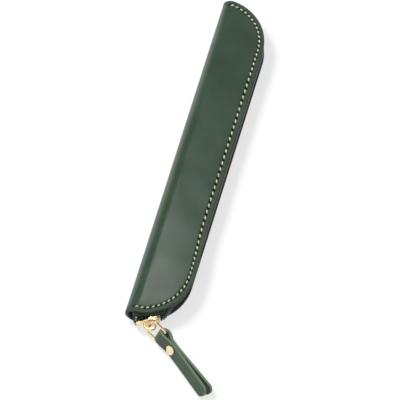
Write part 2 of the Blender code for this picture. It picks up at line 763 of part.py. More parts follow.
def rivet():
    """The two halves of the rivet: a cap with its stem, and a base whose collar takes the stem."""
    face = STRAP_LEATHER + CLEARANCE / 2 + CLEARANCE
    cap = dome(face, 1) + [(RIVET_RADIUS, face), (RIVET_STEM, face), (RIVET_STEM, CLEARANCE - face),
                           (0.0, CLEARANCE - face)]
    rim = face - 2 * CLEARANCE
    base = [(0.0, -face), (RIVET_SOCKET, -face), (RIVET_SOCKET, rim), (RIVET_COLLAR, rim),
            (RIVET_COLLAR, -face), (RIVET_RADIUS, -face)] + dome(-face, -1)[::-1]
    found = []
    for name, profile in (("rivet_cap", cap), ("rivet_base", base)):
        half = turned(name, profile)
        half.matrix_world = rivet_frame()
        found.append(as_part(half, GOLD_METAL))
    return found


def hang(name, spot, pieces):
    """An empty on a joint's axis that carries the pieces that turn about it."""
    axis = bpy.data.objects.new(name, None)
    axis.location = spot
    PARTS.objects.link(axis)
    bpy.context.view_layer.update()
    for piece in pieces:
        piece.parent = axis
        piece.matrix_parent_inverse = axis.matrix_world.inverted()
    return axis


def build():
    for side, suffix in ((-1, "back"), (1, "front")):
        leather_half("leather_" + suffix, side)
        zip_tape("zip_tape_" + suffix, side)
        zip_coil("zip_coil_" + suffix, side)
        seam_threads(side, suffix)
    zip_stops()
    slider = slider_body()
    bail = pull_bail()
    strap = [pull_strap()] + rivet()
    front = [obj for obj in PARTS.objects if obj.name.endswith("_front")]
    hang("spine_axis", (SPINE_X, 0, MID_HEIGHT), front)
    hang("slider_axis", (CORNER_X, -CORNER_Y, MID_HEIGHT), [slider])
    hang("bail_axis", bail_pivot(), [bail])
    hang("strap_axis", strap_pivot(), strap)


build()
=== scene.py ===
"""The look of a slim zippered pencil pouch in green leather, with a gold slider and a folded strap pull."""

import bisect
import math

import bpy
from mathutils import Matrix, Vector, noise
from mathutils.geometry import interpolate_bezier


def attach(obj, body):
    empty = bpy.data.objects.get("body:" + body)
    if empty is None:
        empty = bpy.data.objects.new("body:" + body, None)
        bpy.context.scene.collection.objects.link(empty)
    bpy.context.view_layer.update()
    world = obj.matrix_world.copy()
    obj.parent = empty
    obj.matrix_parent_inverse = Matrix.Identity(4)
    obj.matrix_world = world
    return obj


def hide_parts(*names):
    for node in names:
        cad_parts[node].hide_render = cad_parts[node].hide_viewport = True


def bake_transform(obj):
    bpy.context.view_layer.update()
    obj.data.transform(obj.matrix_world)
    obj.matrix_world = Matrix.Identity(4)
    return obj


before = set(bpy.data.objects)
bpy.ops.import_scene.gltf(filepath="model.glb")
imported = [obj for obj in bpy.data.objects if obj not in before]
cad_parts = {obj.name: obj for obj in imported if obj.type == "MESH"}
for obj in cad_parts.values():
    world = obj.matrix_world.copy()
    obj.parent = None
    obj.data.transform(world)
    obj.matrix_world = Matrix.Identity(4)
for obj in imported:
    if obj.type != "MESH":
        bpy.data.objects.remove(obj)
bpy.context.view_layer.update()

# Leather body, in metres, as the frame has it
POUCH_LENGTH = 0.200
POUCH_WIDTH = 0.030
POUCH_HEIGHT = 0.0145
LEATHER = 0.0018
CORNER_RADIUS = 0.0275
CLEARANCE = 0.0003
MERGE = 0.00001
MID_HEIGHT = POUCH_HEIGHT / 2
SPINE_X = -POUCH_WIDTH / 2
FOLD_X = SPINE_X + MID_HEIGHT
FOLD_REACH = MID_HEIGHT * math.pi / 2
CORNER_X = POUCH_WIDTH / 2 - CORNER_RADIUS
CORNER_Y = POUCH_LENGTH / 2 - CORNER_RADIUS
UP = Vector((0, 0, 1))

# Leather surface
LEAD_STATIONS = 8
STATIONS_PER_STITCH = 4
ROW_INSETS = (0, 0.0004, 0.0009, 0.0014, 0.0019, 0.0022, 0.0025, 0.0028,
              0.0031, 0.0034, 0.0039, 0.0046, 0.0060)
BODY_ROWS = 20
SPINE_ROW_REACH = 0.086
EDGE_ROUND = 0.00026
CROWN_RISE = 0.0012
OVERHANG = 0.00155
OVERHANG_FROM = -0.118
OVERHANG_RISE = 0.012
OVERHANG_FADE = 0.030
OVERHANG_TO = -0.038
RIPPLE = 0.00024
RIPPLE_LENGTH = 0.015

# Seams
SEAM_INSET = 0.0028
SEAM_FROM_SPINE = 0.0045
CURVE_PITCH = 0.0029
STRAIGHT_PITCH = 0.0039
PITCH_CHANGE = 0.028
SEAM_RADIUS = CORNER_RADIUS - SEAM_INSET
SEAM_START = math.asin((SPINE_X + SEAM_FROM_SPINE - CORNER_X) / SEAM_RADIUS)
SEAM_ARC = (math.pi / 2 - SEAM_START) * SEAM_RADIUS
SEAM_LENGTH = 2 * (SEAM_ARC + CORNER_Y)
GROOVE_DEPTH = 0.00022
BACK_GROOVE_DEPTH = 0.0008
BACK_THREAD_DEPTH = 0.00090
GROOVE_WIDTH = 0.00055
HOLE_DEPTH = 0.0008
HOLE_WIDTH = 0.00042
PLY_RADIUS = 0.00028
PLY_TWIST_RADIUS = 0.00019
PLY_TURNS = 1.1
PLY_STEPS = 7
STITCH_SHOWN = 0.00100
STITCH_RISE = 0.00030
STITCH_SLANT = math.radians(14)
SLIT_SLANT = math.radians(55)
SLIT_LENGTH = 1.2
SLIT_WIDTH = 0.8
STITCH_HALF_SHARE = 0.46
STITCH_PROBE = 0.25
MARK_BEYOND_END = 0.25
LEAST_STITCH = 0.5

# Zip tapes and coil
TAPE = 0.0004
TAPE_FROM_SPINE = 0.0028
TAPE_FLANGE = 0.0070
TAPE_EDGE = 0.0010
TAPE_BEND = 0.0011
TAPE_WEB_ROWS = 5
TAPE_BEND_ROWS = 4
TAPE_FLANGE_ROWS = 7
TAPE_STATIONS = 260
ZIP_INSET = 0.0009
COIL_THICKNESS = 0.0012
COIL_OUTER = 0.0030
COIL_WIRE = 0.00056
COIL_PITCH = 0.00145
MOUTH_SPREAD = 0.0014
REJOIN_ANGLE = math.radians(54)
LEAD_HANDLE_SHARE = 0.34
CHAIN_FROM_NOSE = 0.0012
ZIP_STEPS = 20
STOP_LENGTH = 0.0014
BOTTOM_STOP_LENGTH = 0.0022
TAPE_BEYOND_STOP = 0.0010
SEWING_THREAD = 0.00022
SEWING_HEIGHTS = (0.55, 0.8)
SEWING_LOOP = ((0.0, 0.35), (0.3, 0.55), (0.52, 0.95), (0.74, 1.0), (0.9, 0.6), (1.0, 0.35))

# Slider
SLIDER_LENGTH = 0.0132
SLIDER_WIDTH = 0.0086
SLIDER_TAIL_WIDTH = 0.0080
SLIDER_NOSE_WIDTH = 0.0050
SLIDER_WALL = 0.0012
WING_SIDES = 56
WING_ROUND = 0.00045
INNER_WING_WIDTH = 0.0070
SLIDER_FROM_SPINE = 0.0131
SLIDER_TILT = math.radians(2)
SLIDER_STAND_OUT = 0.0024
SLIDER_SHOULDER = 0.0050
WAIST_FROM = -0.0042
WAIST_TO = 0.0004
FLANGE_START = 0.0002
FLANGE_SETBACK = 0.00004
FLANGE_RAMP = 0.0009
FLANGE_LEAST = 0.0005
FLANGE_ROUND = 0.0002
NOTCH_PLACE = 0.0033
NOTCH_WIDTH = 0.0007
NOTCH_DEPTH = 0.0006
NOTCH_HEIGHT = 0.0040
SPREAD_START = 0.0018
SPREAD_END = 0.0036
DIAMOND_WIDTH = 0.0011
DIAMOND_LENGTH = 0.0046
CROWN_WIDTH = 0.0026
CROWN_CENTRE = 0.0007
CROWN_HOLE_LENGTH = 0.0048
CROWN_HOLE_HEIGHT = 0.0032
CROWN_WALL = 0.0011
CROWN_TURN = 0.0014
OUT_FACE = COIL_THICKNESS / 2 + CLEARANCE
IN_FACE = COIL_THICKNESS / 2 + 2 * CLEARANCE + TAPE
NOSE_POWER = 7.0
TAIL_POWER = 9.0
FLANGE_CUTS = 5
FLANGE_TOP_SHARE = 0.6
DIAMOND_SETBACK = 0.00072
DIAMOND_TAPER = 0.3
DIAMOND_ROUND = 0.00012
CROWN_ROWS = 6
CROWN_TURN_STEPS = 6
CROWN_NARROWING = 0.12
CROWN_ROUND = 0.0003

# Wire bail
BAIL_WIRE = 0.0015
BAIL_WIDTH = 0.0089
BAIL_LENGTH = 0.0094
BAIL_CORNER = 0.0017
BAIL_LEAN = math.radians(30)
BAIL_LEAN_AZIMUTH = math.radians(49)
BAIL_AZIMUTH = math.radians(-29)
BAIL_SEGMENTS = 48
BAIL_WIRE_SIDES = 16

# Strap and rivet
STRAP_WIDTH = 0.0068
STRAP_LEATHER = 0.0017
STRAP_LENGTH = 0.0414
STRAP_NECK = 0.0058
STRAP_SLACK = 0.0014
STRAP_SHIFT = 0.0006
STRAP_NEAR_NECK = 0.0086
STRAP_NEAR_SHARE = 0.72
STRAP_TIP_GAP = 0.0026
STRAP_SPLAY_FROM = 0.0130
STRAP_SPLAY_POWER = 1.15
STRAP_AZIMUTH = math.radians(-39)
STRAP_TIP_STEPS = 9
STRAP_LAYER_STEPS = 56
STRAP_LOOP_STEPS = 16
STRAP_ROWS = 12
STRAP_EDGE_ROUND = 0.0003
RIVET_PLACE = 0.0090
RIVET_RADIUS = 0.0028
RIVET_HEIGHT = 0.0007
RIVET_RIM = 0.0003
RIVET_FLATNESS = 0.6
RIVET_STEM = 0.0009
RIVET_COLLAR = 0.0016
RIVET_SIDES = 48
RIVET_RINGS = 9
RIVET_PRESS = 0.00012
RIVET_PRESS_REACH = 1.25
RIVET_RING_SHARE = 0.97
RIVET_ROUND = 0.00012

# Camera and photograph frame
IMAGE_PIXELS = 400
PIXELS_PER_METRE = 1818
VIEW_AZIMUTH = math.radians(15.6)
VIEW_ELEVATION = math.radians(62)
CAMERA_DISTANCE = 3.33
AIM_RIGHT = -0.00066
AIM_UP = -0.01672

# Ground and lamps, each lamp by its place, aim, size and power
GROUND_SIZE = 6
GROUND_DROP = 0.00008
PAPER_GLOW = 1.1
PAPER_GLOW_SHARE = 0.62
KEY_LAMP = ((-0.43, 0.13, 0.89), (0, 0, 0), 0.24, 7.4)
SIDE_LAMP = ((-0.70, -0.30, 0.30), (0, 0, 0), 0.35, 1.2)
SHEEN_LAMP = ((-0.050, 0.038, 0.280), (-0.012, -0.098, 0.014), 0.06, 0.15)

# Colours
WHITE = (1, 1, 1, 1)
PAPER_DEEP = (0.80, 0.80, 0.80, 1)
PAPER_LIGHT = (0.84, 0.84, 0.84, 1)
GREEN = (0.028, 0.052, 0.034, 1)
GREEN_DEEP = (0.019, 0.039, 0.024, 1)
GREEN_LIGHT = (0.040, 0.070, 0.044, 1)
GREEN_PALE = (0.062, 0.105, 0.055, 1)
# Painted shade: the near-black colour of the inside of the stitch slits
SLIT_SHADE_DARK = (0.004, 0.008, 0.004, 1)
# Painted shadow: the dark brown ring on the strap round the rivet's head
RIVET_SHADOW_BROWN = (0.016, 0.012, 0.007, 1)
COVER_CUT_DEEP = (0.012, 0.024, 0.014, 1)
COVER_CUT_PALE = (0.030, 0.052, 0.030, 1)
STRAP_CUT_DEEP = (0.122, 0.178, 0.110, 1)
STRAP_CUT_PALE = (0.200, 0.278, 0.170, 1)
FLESH_DEEP = (0.018, 0.034, 0.021, 1)
FLESH_LIGHT = (0.032, 0.055, 0.034, 1)
FLESH_NAP = (0.045, 0.075, 0.045, 1)
# The tape's dye with painted shade in the weave's hollows, and with a painted highlight on its rib tops
TAPE_SHADED = (0.003, 0.006, 0.004, 1)
TAPE_RIB_HIGHLIGHT = (0.040, 0.066, 0.044, 1)
TAPE_LINT = (0.05, 0.07, 0.05, 1)
NYLON_DEEP = (0.005, 0.010, 0.006, 1)
NYLON_LIGHT = (0.020, 0.034, 0.022, 1)
THREAD_DEEP = (0.52, 0.56, 0.34, 1)
THREAD_LIGHT = (0.80, 0.82, 0.58, 1)
THREAD_DULL = (0.42, 0.48, 0.28, 1)

# Gold: lowest and highest roughness, scale of its scratches, deep and bright tone
BRIGHT_GOLD = (0.10, 0.22, 900.0, (0.80, 0.58, 0.27, 1), (1.0, 0.90, 0.66, 1))
CAST_GOLD = (0.16, 0.30, 700.0, (0.78, 0.54, 0.24, 1), (1.0, 0.88, 0.60, 1))

# Surface detail: scales of noises, shares, heights in metres and pitches in millimetres
METRES_TO_MM = 1000.0
GRAIN_SCALE = 1500.0
CUT_SCALE = 2400.0
NAP_SCALE = 3200.0
PATCH_SCALE = 90.0
LINT_SCALE = 2600.0
STREAK_SCALE = 1800.0
FUZZ_SCALE = 5200.0
DULL_SCALE = 260.0
PAPER_SCALE = 60.0
PORE_DARKNESS = 0.35
SCRATCH_DULLNESS = 0.12
EDGE_PALENESS = 0.12
MARGIN_DRYNESS = 0.28
STRAP_PALENESS = 0.6
GRAIN_BUMP = 0.000022
GROOVE_BUMP = 0.00008
CUT_BUMP = 0.00005
NAP_BUMP = 0.00009
STREAK_BUMP = 0.00001
FUZZ_BUMP = 0.00004
SCRATCH_BUMP = 0.000002
RIB_PITCH = 0.9
TWILL_PITCH = 1.3
WEFT_SHARE = 0.55


def only(*objects):
    """Selects just these objects, the last one active."""
    bpy.ops.object.select_all(action="DESELECT")
    for obj in objects:
        obj.select_set(True)
    bpy.context.view_layer.objects.active = objects[-1]


def named(obj, name):
    obj.name = name
    obj.data.name = name
    return obj


def modifier(obj, kind, **settings):
    step = obj.modifiers.new(kind.lower(), kind)
    for setting, value in settings.items():
        setattr(step, setting, value)


def apply_modifiers(obj):
    only(obj)
    for step in list(obj.modifiers):
        bpy.ops.object.modifier_apply(modifier=step.name)
    return obj


def bevelled(obj, width, segments=3, degrees=50):
    modifier(obj, "BEVEL", width=width, segments=segments, limit_method="ANGLE",
             angle_limit=math.radians(degrees))
    return apply_modifiers(obj)


def edit(obj, action="DESELECT"):
    """Opens an object for editing with nothing in it selected, or everything."""
    only(obj)
    bpy.ops.object.mode_set(mode="EDIT")
    bpy.ops.mesh.select_all(action=action)


def close_edit():
    bpy.ops.object.mode_set(mode="OBJECT")


def select_upward(obj):
    """Selects the faces that look up, and goes back to editing."""
    close_edit()
    for face in obj.data.polygons:
        face.select = face.normal.z > 0.9
    bpy.ops.object.mode_set(mode="EDIT")


def smooth(obj, degrees=None):
    """Shades an object smooth, up to an angle between faces if one is given."""
    only(obj)
    if degrees is None:
        bpy.ops.object.shade_smooth()
    else:
        bpy.ops.object.shade_smooth_by_angle(angle=math.radians(degrees))
    return obj


def added(name, operator, **settings):
    """An object that one of Blender's operators adds, with nothing selected before."""
    bpy.ops.object.select_all(action="DESELECT")
    operator(**settings)
    return named(bpy.context.object, name)


def finished(obj, *finishes):
    """Gives an object these materials in place of any that it has."""
    obj.data.materials.clear()
    for finish in finishes:
        obj.data.materials.append(finish)
    return obj


def laid_grid(name, columns, rows, place):
    """A flat grid whose points are laid by a rule of column and row."""
    obj = added(name, bpy.ops.mesh.primitive_grid_add, x_subdivisions=columns, y_subdivisions=rows, size=1)
    for vert in obj.data.vertices:
        column = round((vert.co.x + 0.5) * columns)
        row = round((vert.co.y + 0.5) * rows)
        vert.co = place(column, row)
    return obj


def mark_grid(obj, name, columns, mark):
    """Writes a vector on each point of a fresh grid, by a rule of column and row."""
    layer = obj.data.attributes.new(name, "FLOAT_VECTOR", "POINT")
    for index, item in enumerate(layer.data):
        item.vector = mark(index % (columns + 1), index // (columns + 1))


def face_towards(obj, direction):
    """Turns an open surface so that its faces look along a direction."""
    if sum(face.normal.dot(direction) * face.area for face in obj.data.polygons) < 0:
        obj.data.flip_normals()


def recalculate_outward(obj):
    edit(obj, "SELECT")
    bpy.ops.mesh.remove_doubles(threshold=MERGE)
    bpy.ops.mesh.normals_make_consistent(inside=False)
    close_edit()
    return obj


def thick_leather(obj, thickness, offset, edge_round, finishes):
    """Gives a sheet its thickness and round edges, in the materials for grain, flesh and cut."""
    finished(obj, *finishes)
    modifier(obj, "SOLIDIFY", thickness=thickness, offset=offset, use_even_offset=True,
             material_offset=1, material_offset_rim=2)
    return bevelled(obj, edge_round)


def joined(name, pieces):
    only(*pieces)
    bpy.ops.object.join()
    return named(bpy.context.object, name)


def join_copies(name, template, places):
    """One object of copies of a small piece, one at each place. The template is used up."""
    copies = []
    for place in places:
        copy = template.copy()
        copy.data = template.data.copy()
        copy.data.transform(place)
        bpy.context.collection.objects.link(copy)
        copies.append(copy)
    bpy.data.objects.remove(template, do_unlink=True)
    return joined(name, copies)


def combine(body, pieces, operation):
    """Joins closed pieces to a solid or cuts them out of it."""
    for piece in pieces:
        modifier(body, "BOOLEAN", operation=operation, solver="EXACT", object=piece)
        apply_modifiers(body)
        bpy.data.objects.remove(piece, do_unlink=True)
    return body


def poly_curve(name, points):
    """A curve of straight steps through points."""
    curve = bpy.data.curves.new(name, "CURVE")
    curve.dimensions = "3D"
    spline = curve.splines.new("POLY")
    spline.points.add(len(points) - 1)
    for slot, point in zip(spline.points, points):
        slot.co = (*point, 1.0)
    obj = bpy.data.objects.new(name, curve)
    bpy.context.collection.objects.link(obj)
    return obj


def polyline(name, points, radius, resolution=0):
    """A round thread or wire along points, as a mesh with its ends closed."""
    wire = poly_curve(name, points)
    wire.data.bevel_depth = radius
    wire.data.bevel_resolution = resolution
    wire.data.use_fill_caps = True
    only(wire)
    bpy.ops.object.convert(target="MESH")
    return recalculate_outward(bpy.context.object)


def path_length(points):
    return sum((second - first).length for first, second in zip(points, points[1:]))


def frame_at(spot, along, across, out):
    """A frame at a spot, with these directions for its X, Y and Z."""
    return Matrix.Translation(spot) @ Matrix((along, across, out)).transposed().to_4x4()


def heading(angle):
    """The level direction at an angle from X."""
    return Vector((math.cos(angle), math.sin(angle), 0))


def smoothstep(share):
    share = min(max(share, 0.0), 1.0)
    return share * share * (3 - 2 * share)


def bell(value):
    """1 at zero, falling smoothly to nothing a few units away."""
    return math.exp(-value * value)


# Node trees


def feed(tree, socket, value):
    """Joins a socket to another one, or sets it to a value."""
    if isinstance(value, bpy.types.NodeSocket):
        tree.links.new(value, socket)
    else:
        socket.default_value = value


def add_node(tree, kind, inputs=None, **settings):
    node = tree.nodes.new(kind)
    for setting, value in settings.items():
        setattr(node, setting, value)
    for name, value in (inputs or {}).items():
        feed(tree, node.inputs[name], value)
    return node


def calculate(tree, operation, *values):
    node = add_node(tree, "ShaderNodeMath", operation=operation)
    for socket, value in zip(node.inputs, values):
        feed(tree, socket, value)
    return node.outputs[0]


def times(tree, first, second):
    return calculate(tree, "MULTIPLY", first, second)


def span(tree, value, low, high, start=0.0, stop=1.0):
    """Maps a value from one range to another, kept inside it and eased at both ends."""
    inputs = {"Value": value, "From Min": low, "From Max": high, "To Min": start, "To Max": stop}
    return add_node(tree, "ShaderNodeMapRange", inputs, interpolation_type="SMOOTHSTEP").outputs["Result"]


def blend_colour(tree, factor, first, second):
    node = add_node(tree, "ShaderNodeMix", data_type="RGBA")
    for socket, value in zip((node.inputs[0], node.inputs[6], node.inputs[7]), (factor, first, second)):
        feed(tree, socket, value)
    return node.outputs[2]


def noise_at(tree, vector, scale, detail=3.0, roughness=0.55):
    inputs = {"Vector": vector, "Scale": scale, "Detail": detail, "Roughness": roughness}
    return add_node(tree, "ShaderNodeTexNoise", inputs).outputs["Fac"]


def stretched(tree, vector, scale, rotation=(0, 0, 0)):
    inputs = {"Vector": vector, "Scale": scale, "Rotation": rotation}
    return add_node(tree, "ShaderNodeMapping", inputs).outputs["Vector"]


def two_tone(tree, field, first, second):
    """Two colours mixed by the middle range of a noise."""
    return blend_colour(tree, span(tree, field, 0.3, 0.7), first, second)


def varied(tree, field, start, stop):
    """A value that a noise takes from one level to another."""
    return span(tree, field, 0.2, 0.8, start, stop)


def attribute_parts(tree, name):
    """The three values of a vector attribute."""
    vector = add_node(tree, "ShaderNodeAttribute", attribute_name=name).outputs["Vector"]
    return add_node(tree, "ShaderNodeSeparateXYZ", {"Vector": vector}).outputs


def mix_shaders(tree, factor, first, second):
    return add_node(tree, "ShaderNodeMixShader", {0: factor, 1: first.outputs[0], 2: second.outputs[0]})


def open_group(name):
    """A shader node group that works on a place and a scale."""
    group = bpy.data.node_groups.new(name, "ShaderNodeTree")
    for socket, kind in (("Vector", "NodeSocketVector"), ("Scale", "NodeSocketFloat")):
        group.interface.new_socket(name=socket, in_out="INPUT", socket_type=kind)
    given = add_node(group, "NodeGroupInput").outputs
    return group, given["Vector"], given["Scale"]


def close_group(group, **values):
    """Gives a group an output for each named value."""
    for socket in values:
        group.interface.new_socket(name=socket, in_out="OUTPUT", socket_type="NodeSocketFloat")
    add_node(group, "NodeGroupOutput", values)
    return group


def use_group(tree, group, place, scale):
    return add_node(tree, "ShaderNodeGroup", {"Vector": place, "Scale": scale}, node_tree=group).outputs


def leather_grain_group():
    """Fine cells, creases and pores of full grain leather, with slow changes of tone."""
    tree, place, scale = open_group("leather_grain")
    warp = add_node(tree, "ShaderNodeTexNoise", {"Vector": place, "Scale": times(tree, scale, 0.4)})
    reach = {0: warp.outputs["Color"], "Scale": calculate(tree, "DIVIDE", 0.9, scale)}
    bent = add_node(tree, "ShaderNodeVectorMath", reach, operation="SCALE").outputs[0]
    moved = add_node(tree, "ShaderNodeVectorMath", {0: place, 1: bent}, operation="ADD").outputs[0]
    cells = add_node(tree, "ShaderNodeTexVoronoi", {"Vector": moved, "Scale": scale},
                     feature="DISTANCE_TO_EDGE")
    pebbles = span(tree, cells.outputs["Distance"], 0.0, 0.22)
    fine = noise_at(tree, place, times(tree, scale, 3.5), 4.0)
    dots = add_node(tree, "ShaderNodeTexVoronoi", {"Vector": moved, "Scale": times(tree, scale, 0.55)})
    pores = span(tree, dots.outputs["Distance"], 0.16, 0.03)
    height = calculate(tree, "ADD", times(tree, pebbles, 0.55), times(tree, fine, 0.35))
    height = calculate(tree, "SUBTRACT", height, times(tree, pores, 0.5))
    tone = noise_at(tree, place, times(tree, scale, 0.035), 5.0, 0.6)
    return close_group(tree, Height=height, Tone=tone, Pores=pores)


def cut_fibre_group():
    """The open fibres of leather that a knife has cut, rubbed almost smooth."""
    tree, place, scale = open_group("cut_fibres")
    coarse = noise_at(tree, place, scale, 4.0, 0.65)
    threads = add_node(tree, "ShaderNodeTexVoronoi", {"Vector": place, "Scale": times(tree, scale, 2)})
    height = calculate(tree, "SUBTRACT", coarse, times(tree, threads.outputs["Distance"], 0.4))
    return close_group(tree, Height=height, Tone=coarse)


def fine_scratch_group():
    """Hair-fine scratches and faint smears of handled metal."""
    tree, place, scale = open_group("fine_scratches")
    one_way = noise_at(tree, stretched(tree, place, (1, 14, 9), (0.3, 0.5, 0.2)), scale, 2.0)
    other_way = noise_at(tree, stretched(tree, place, (12, 1, 10), (0.9, 0.1, 0.7)), scale, 2.0)
    lines = calculate(tree, "MAXIMUM", span(tree, one_way, 0.62, 0.70), span(tree, other_way, 0.64, 0.72))
    return close_group(tree, Height=lines, Smears=noise_at(tree, place, times(tree, scale, 0.8), 4.0))


LEATHER_GRAIN = leather_grain_group()
CUT_FIBRES = cut_fibre_group()
FINE_SCRATCHES = fine_scratch_group()


def new_material(name, **constants):
    """A material with its shader's constant values set. Gives its tree, shader and object coordinates."""
    made = bpy.data.materials.new(name)
    made.use_nodes = True
    tree = made.node_tree
    shader = tree.nodes["Principled BSDF"]
    for socket, value in constants.items():
        shader.inputs[socket.replace("_", " ")].default_value = value
    place = add_node(tree, "ShaderNodeTexCoord").outputs["Object"]
    return made, tree, shader, place


def paint(tree, shader, colour, rough):
    feed(tree, shader.inputs["Base Color"], colour)
    feed(tree, shader.inputs["Roughness"], rough)


def add_bump(tree, shader, height, distance, below=None):
    """Raises the surface by a height map, over another bump if there is one."""
    inputs = {"Height": height, "Distance": distance, "Strength": 1.0}
    if below is not None:
        inputs["Normal"] = below
    normal = add_node(tree, "ShaderNodeBump", inputs).outputs["Normal"]
    feed(tree, shader.inputs["Normal"], normal)
    return normal


def leather_base(tree, shader, place):
    """Grain, pores and tone that both leather faces share. Gives colour, roughness and the bump so far."""
    grain = use_group(tree, LEATHER_GRAIN, place, GRAIN_SCALE)
    colour = two_tone(tree, grain["Tone"], GREEN, GREEN_LIGHT)
    colour = blend_colour(tree, times(tree, grain["Pores"], PORE_DARKNESS), colour, GREEN_DEEP)
    rough = span(tree, grain["Height"], 0.0, 0.9, 0.36, 0.29)
    return colour, rough, add_bump(tree, shader, grain["Height"], GRAIN_BUMP)


def slit_mask(tree, along, inset, length):
    """1 in the slanted slits that the thread goes through. Along is a place in stitches of this length."""
    ahead = times(tree, calculate(tree, "WRAP", along, 0.5, -0.5), length)
    aside = calculate(tree, "SUBTRACT", inset, SEAM_INSET * METRES_TO_MM)
    offset = add_node(tree, "ShaderNodeCombineXYZ", {"X": ahead, "Y": aside}).outputs[0]
    turned = add_node(tree, "ShaderNodeVectorRotate", {"Vector": offset, "Angle": -SLIT_SLANT},
                      rotation_type="Z_AXIS").outputs[0]
    shares = stretched(tree, turned, (1 / SLIT_LENGTH, 1 / SLIT_WIDTH, 1))
    distance = add_node(tree, "ShaderNodeVectorMath", {0: shares}, operation="LENGTH").outputs["Value"]
    return span(tree, distance, 1.1, 0.7)


def cover_leather():
    """Grain side of the pouch: painted shade in the stitch holes, paler at its worn edge, drier in the
    margin.
    """
    made, tree, shader, place = new_material("cover_leather")
    colour, rough, relief = leather_base(tree, shader, place)
    along, inset, length = attribute_parts(tree, "seam")
    inside = calculate(tree, "MINIMUM", length, 1.0)
    colour = blend_colour(tree, span(tree, inset, 1.6, 0.1, 0.0, EDGE_PALENESS), colour, GREEN_PALE)
    rough = calculate(tree, "ADD", rough, span(tree, inset, 3.0, 2.2, 0.0, MARGIN_DRYNESS))
    # Painted shade: the stitch slits are coloured near black, standing in for the shade inside the holes
    hole = times(tree, slit_mask(tree, along, inset, length), inside)
    paint(tree, shader, blend_colour(tree, hole, colour, SLIT_SHADE_DARK), rough)
    off_line = calculate(tree, "ABSOLUTE", calculate(tree, "SUBTRACT", inset, SEAM_INSET * METRES_TO_MM))
    groove = times(tree, span(tree, off_line, 0.7, 0.1), inside)
    add_bump(tree, shader, calculate(tree, "SUBTRACT", 1.0, groove), GROOVE_BUMP, relief)
    return made


def strap_leather():
    """Grain side of the strap, paler at its worn edges, with a painted shadow in a ring round the rivet."""
    made, tree, shader, place = new_material("strap_leather")
    colour, rough, _ = leather_base(tree, shader, place)
    _, from_edge, from_rivet = attribute_parts(tree, "lay")
    rim = RIVET_RADIUS * METRES_TO_MM
    colour = blend_colour(tree, span(tree, from_edge, 0.7, 0.1, 0.0, STRAP_PALENESS), colour, GREEN_PALE)
    # Painted shadow: a dark brown ring on the leather just outside the rivet's head
    colour = blend_colour(tree, span(tree, from_rivet, rim + 0.7, rim + 0.2), colour, RIVET_SHADOW_BROWN)
    paint(tree, shader, colour, rough)
    return made


def cut_edge_leather(name, deep, pale):
    """Cut edges: drier green with short fibres."""
    made, tree, shader, place = new_material(name)
    fibres = use_group(tree, CUT_FIBRES, place, CUT_SCALE)
    colour = two_tone(tree, fibres["Tone"], deep, pale)
    paint(tree, shader, colour, varied(tree, fibres["Tone"], 0.78, 0.56))
    add_bump(tree, shader, fibres["Height"], CUT_BUMP)
    return made


def flesh_leather():
    """Flesh side inside the pouch and the strap: a short dark green nap."""
    made, tree, shader, place = new_material("flesh_leather", Sheen_Weight=0.25, Sheen_Roughness=0.5)
    fibres = use_group(tree, CUT_FIBRES, place, NAP_SCALE)
    colour = two_tone(tree, noise_at(tree, place, PATCH_SCALE, 4.0), FLESH_DEEP, FLESH_LIGHT)
    colour = blend_colour(tree, span(tree, fibres["Tone"], 0.35, 0.75), colour, FLESH_NAP)
    paint(tree, shader, colour, varied(tree, fibres["Tone"], 0.95, 0.8))
    add_bump(tree, shader, fibres["Height"], NAP_BUMP)
    return made


def tape_cloth():
    """Zip tape: a fine twill of warp and weft, with a painted highlight on its rib tops and painted shade
    between them.
    """
    made, tree, shader, place = new_material("tape_cloth")
    along, across, _ = attribute_parts(tree, "lay")
    weft = calculate(tree, "SINE", times(tree, along, 2 * math.pi / RIB_PITCH))
    slope = calculate(tree, "ADD", times(tree, along, 0.5), across)
    twill = calculate(tree, "SINE", times(tree, slope, 2 * math.pi / TWILL_PITCH))
    height = calculate(tree, "ADD", times(tree, weft, WEFT_SHARE), times(tree, twill, 1 - WEFT_SHARE))
    height = span(tree, height, -1.0, 1.0)
    lint = noise_at(tree, place, LINT_SCALE, 3.0)
    # Painted light: the weave's height colours its rib tops lighter as a painted highlight and its hollows
    # darker as painted shade
    colour = blend_colour(tree, height, TAPE_SHADED, TAPE_RIB_HIGHLIGHT)
    colour = blend_colour(tree, span(tree, lint, 0.62, 0.8, 0.0, 0.4), colour, TAPE_LINT)
    paint(tree, shader, colour, span(tree, height, 0.0, 1.0, 0.95, 0.75))
    add_bump(tree, shader, height, NAP_BUMP)
    return made


def coil_nylon():
    """Moulded nylon of the coil: dark green with a satin shine and faint draw lines."""
    made, tree, shader, place = new_material("coil_nylon", Coat_Weight=0.6, Coat_Roughness=0.22)
    streaks = noise_at(tree, stretched(tree, place, (1, 1, 6)), STREAK_SCALE, 3.0)
    colour = two_tone(tree, streaks, NYLON_DEEP, NYLON_LIGHT)
    paint(tree, shader, colour, varied(tree, streaks, 0.22, 0.40))
    add_bump(tree, shader, streaks, STREAK_BUMP)
    return made


def seam_thread():
    """Waxed cream-green thread with a little fuzz."""
    made, tree, shader, place = new_material("seam_thread", Sheen_Weight=0.2, Sheen_Roughness=0.5)
    fuzz = noise_at(tree, place, FUZZ_SCALE, 4.0, 0.7)
    slow = noise_at(tree, place, DULL_SCALE, 2.0)
    colour = two_tone(tree, fuzz, THREAD_DEEP, THREAD_LIGHT)
    colour = blend_colour(tree, span(tree, slow, 0.4, 0.75, 0.0, 0.3), colour, THREAD_DULL)
    paint(tree, shader, colour, varied(tree, fuzz, 0.75, 0.5))
    add_bump(tree, shader, fuzz, FUZZ_BUMP)
    return made


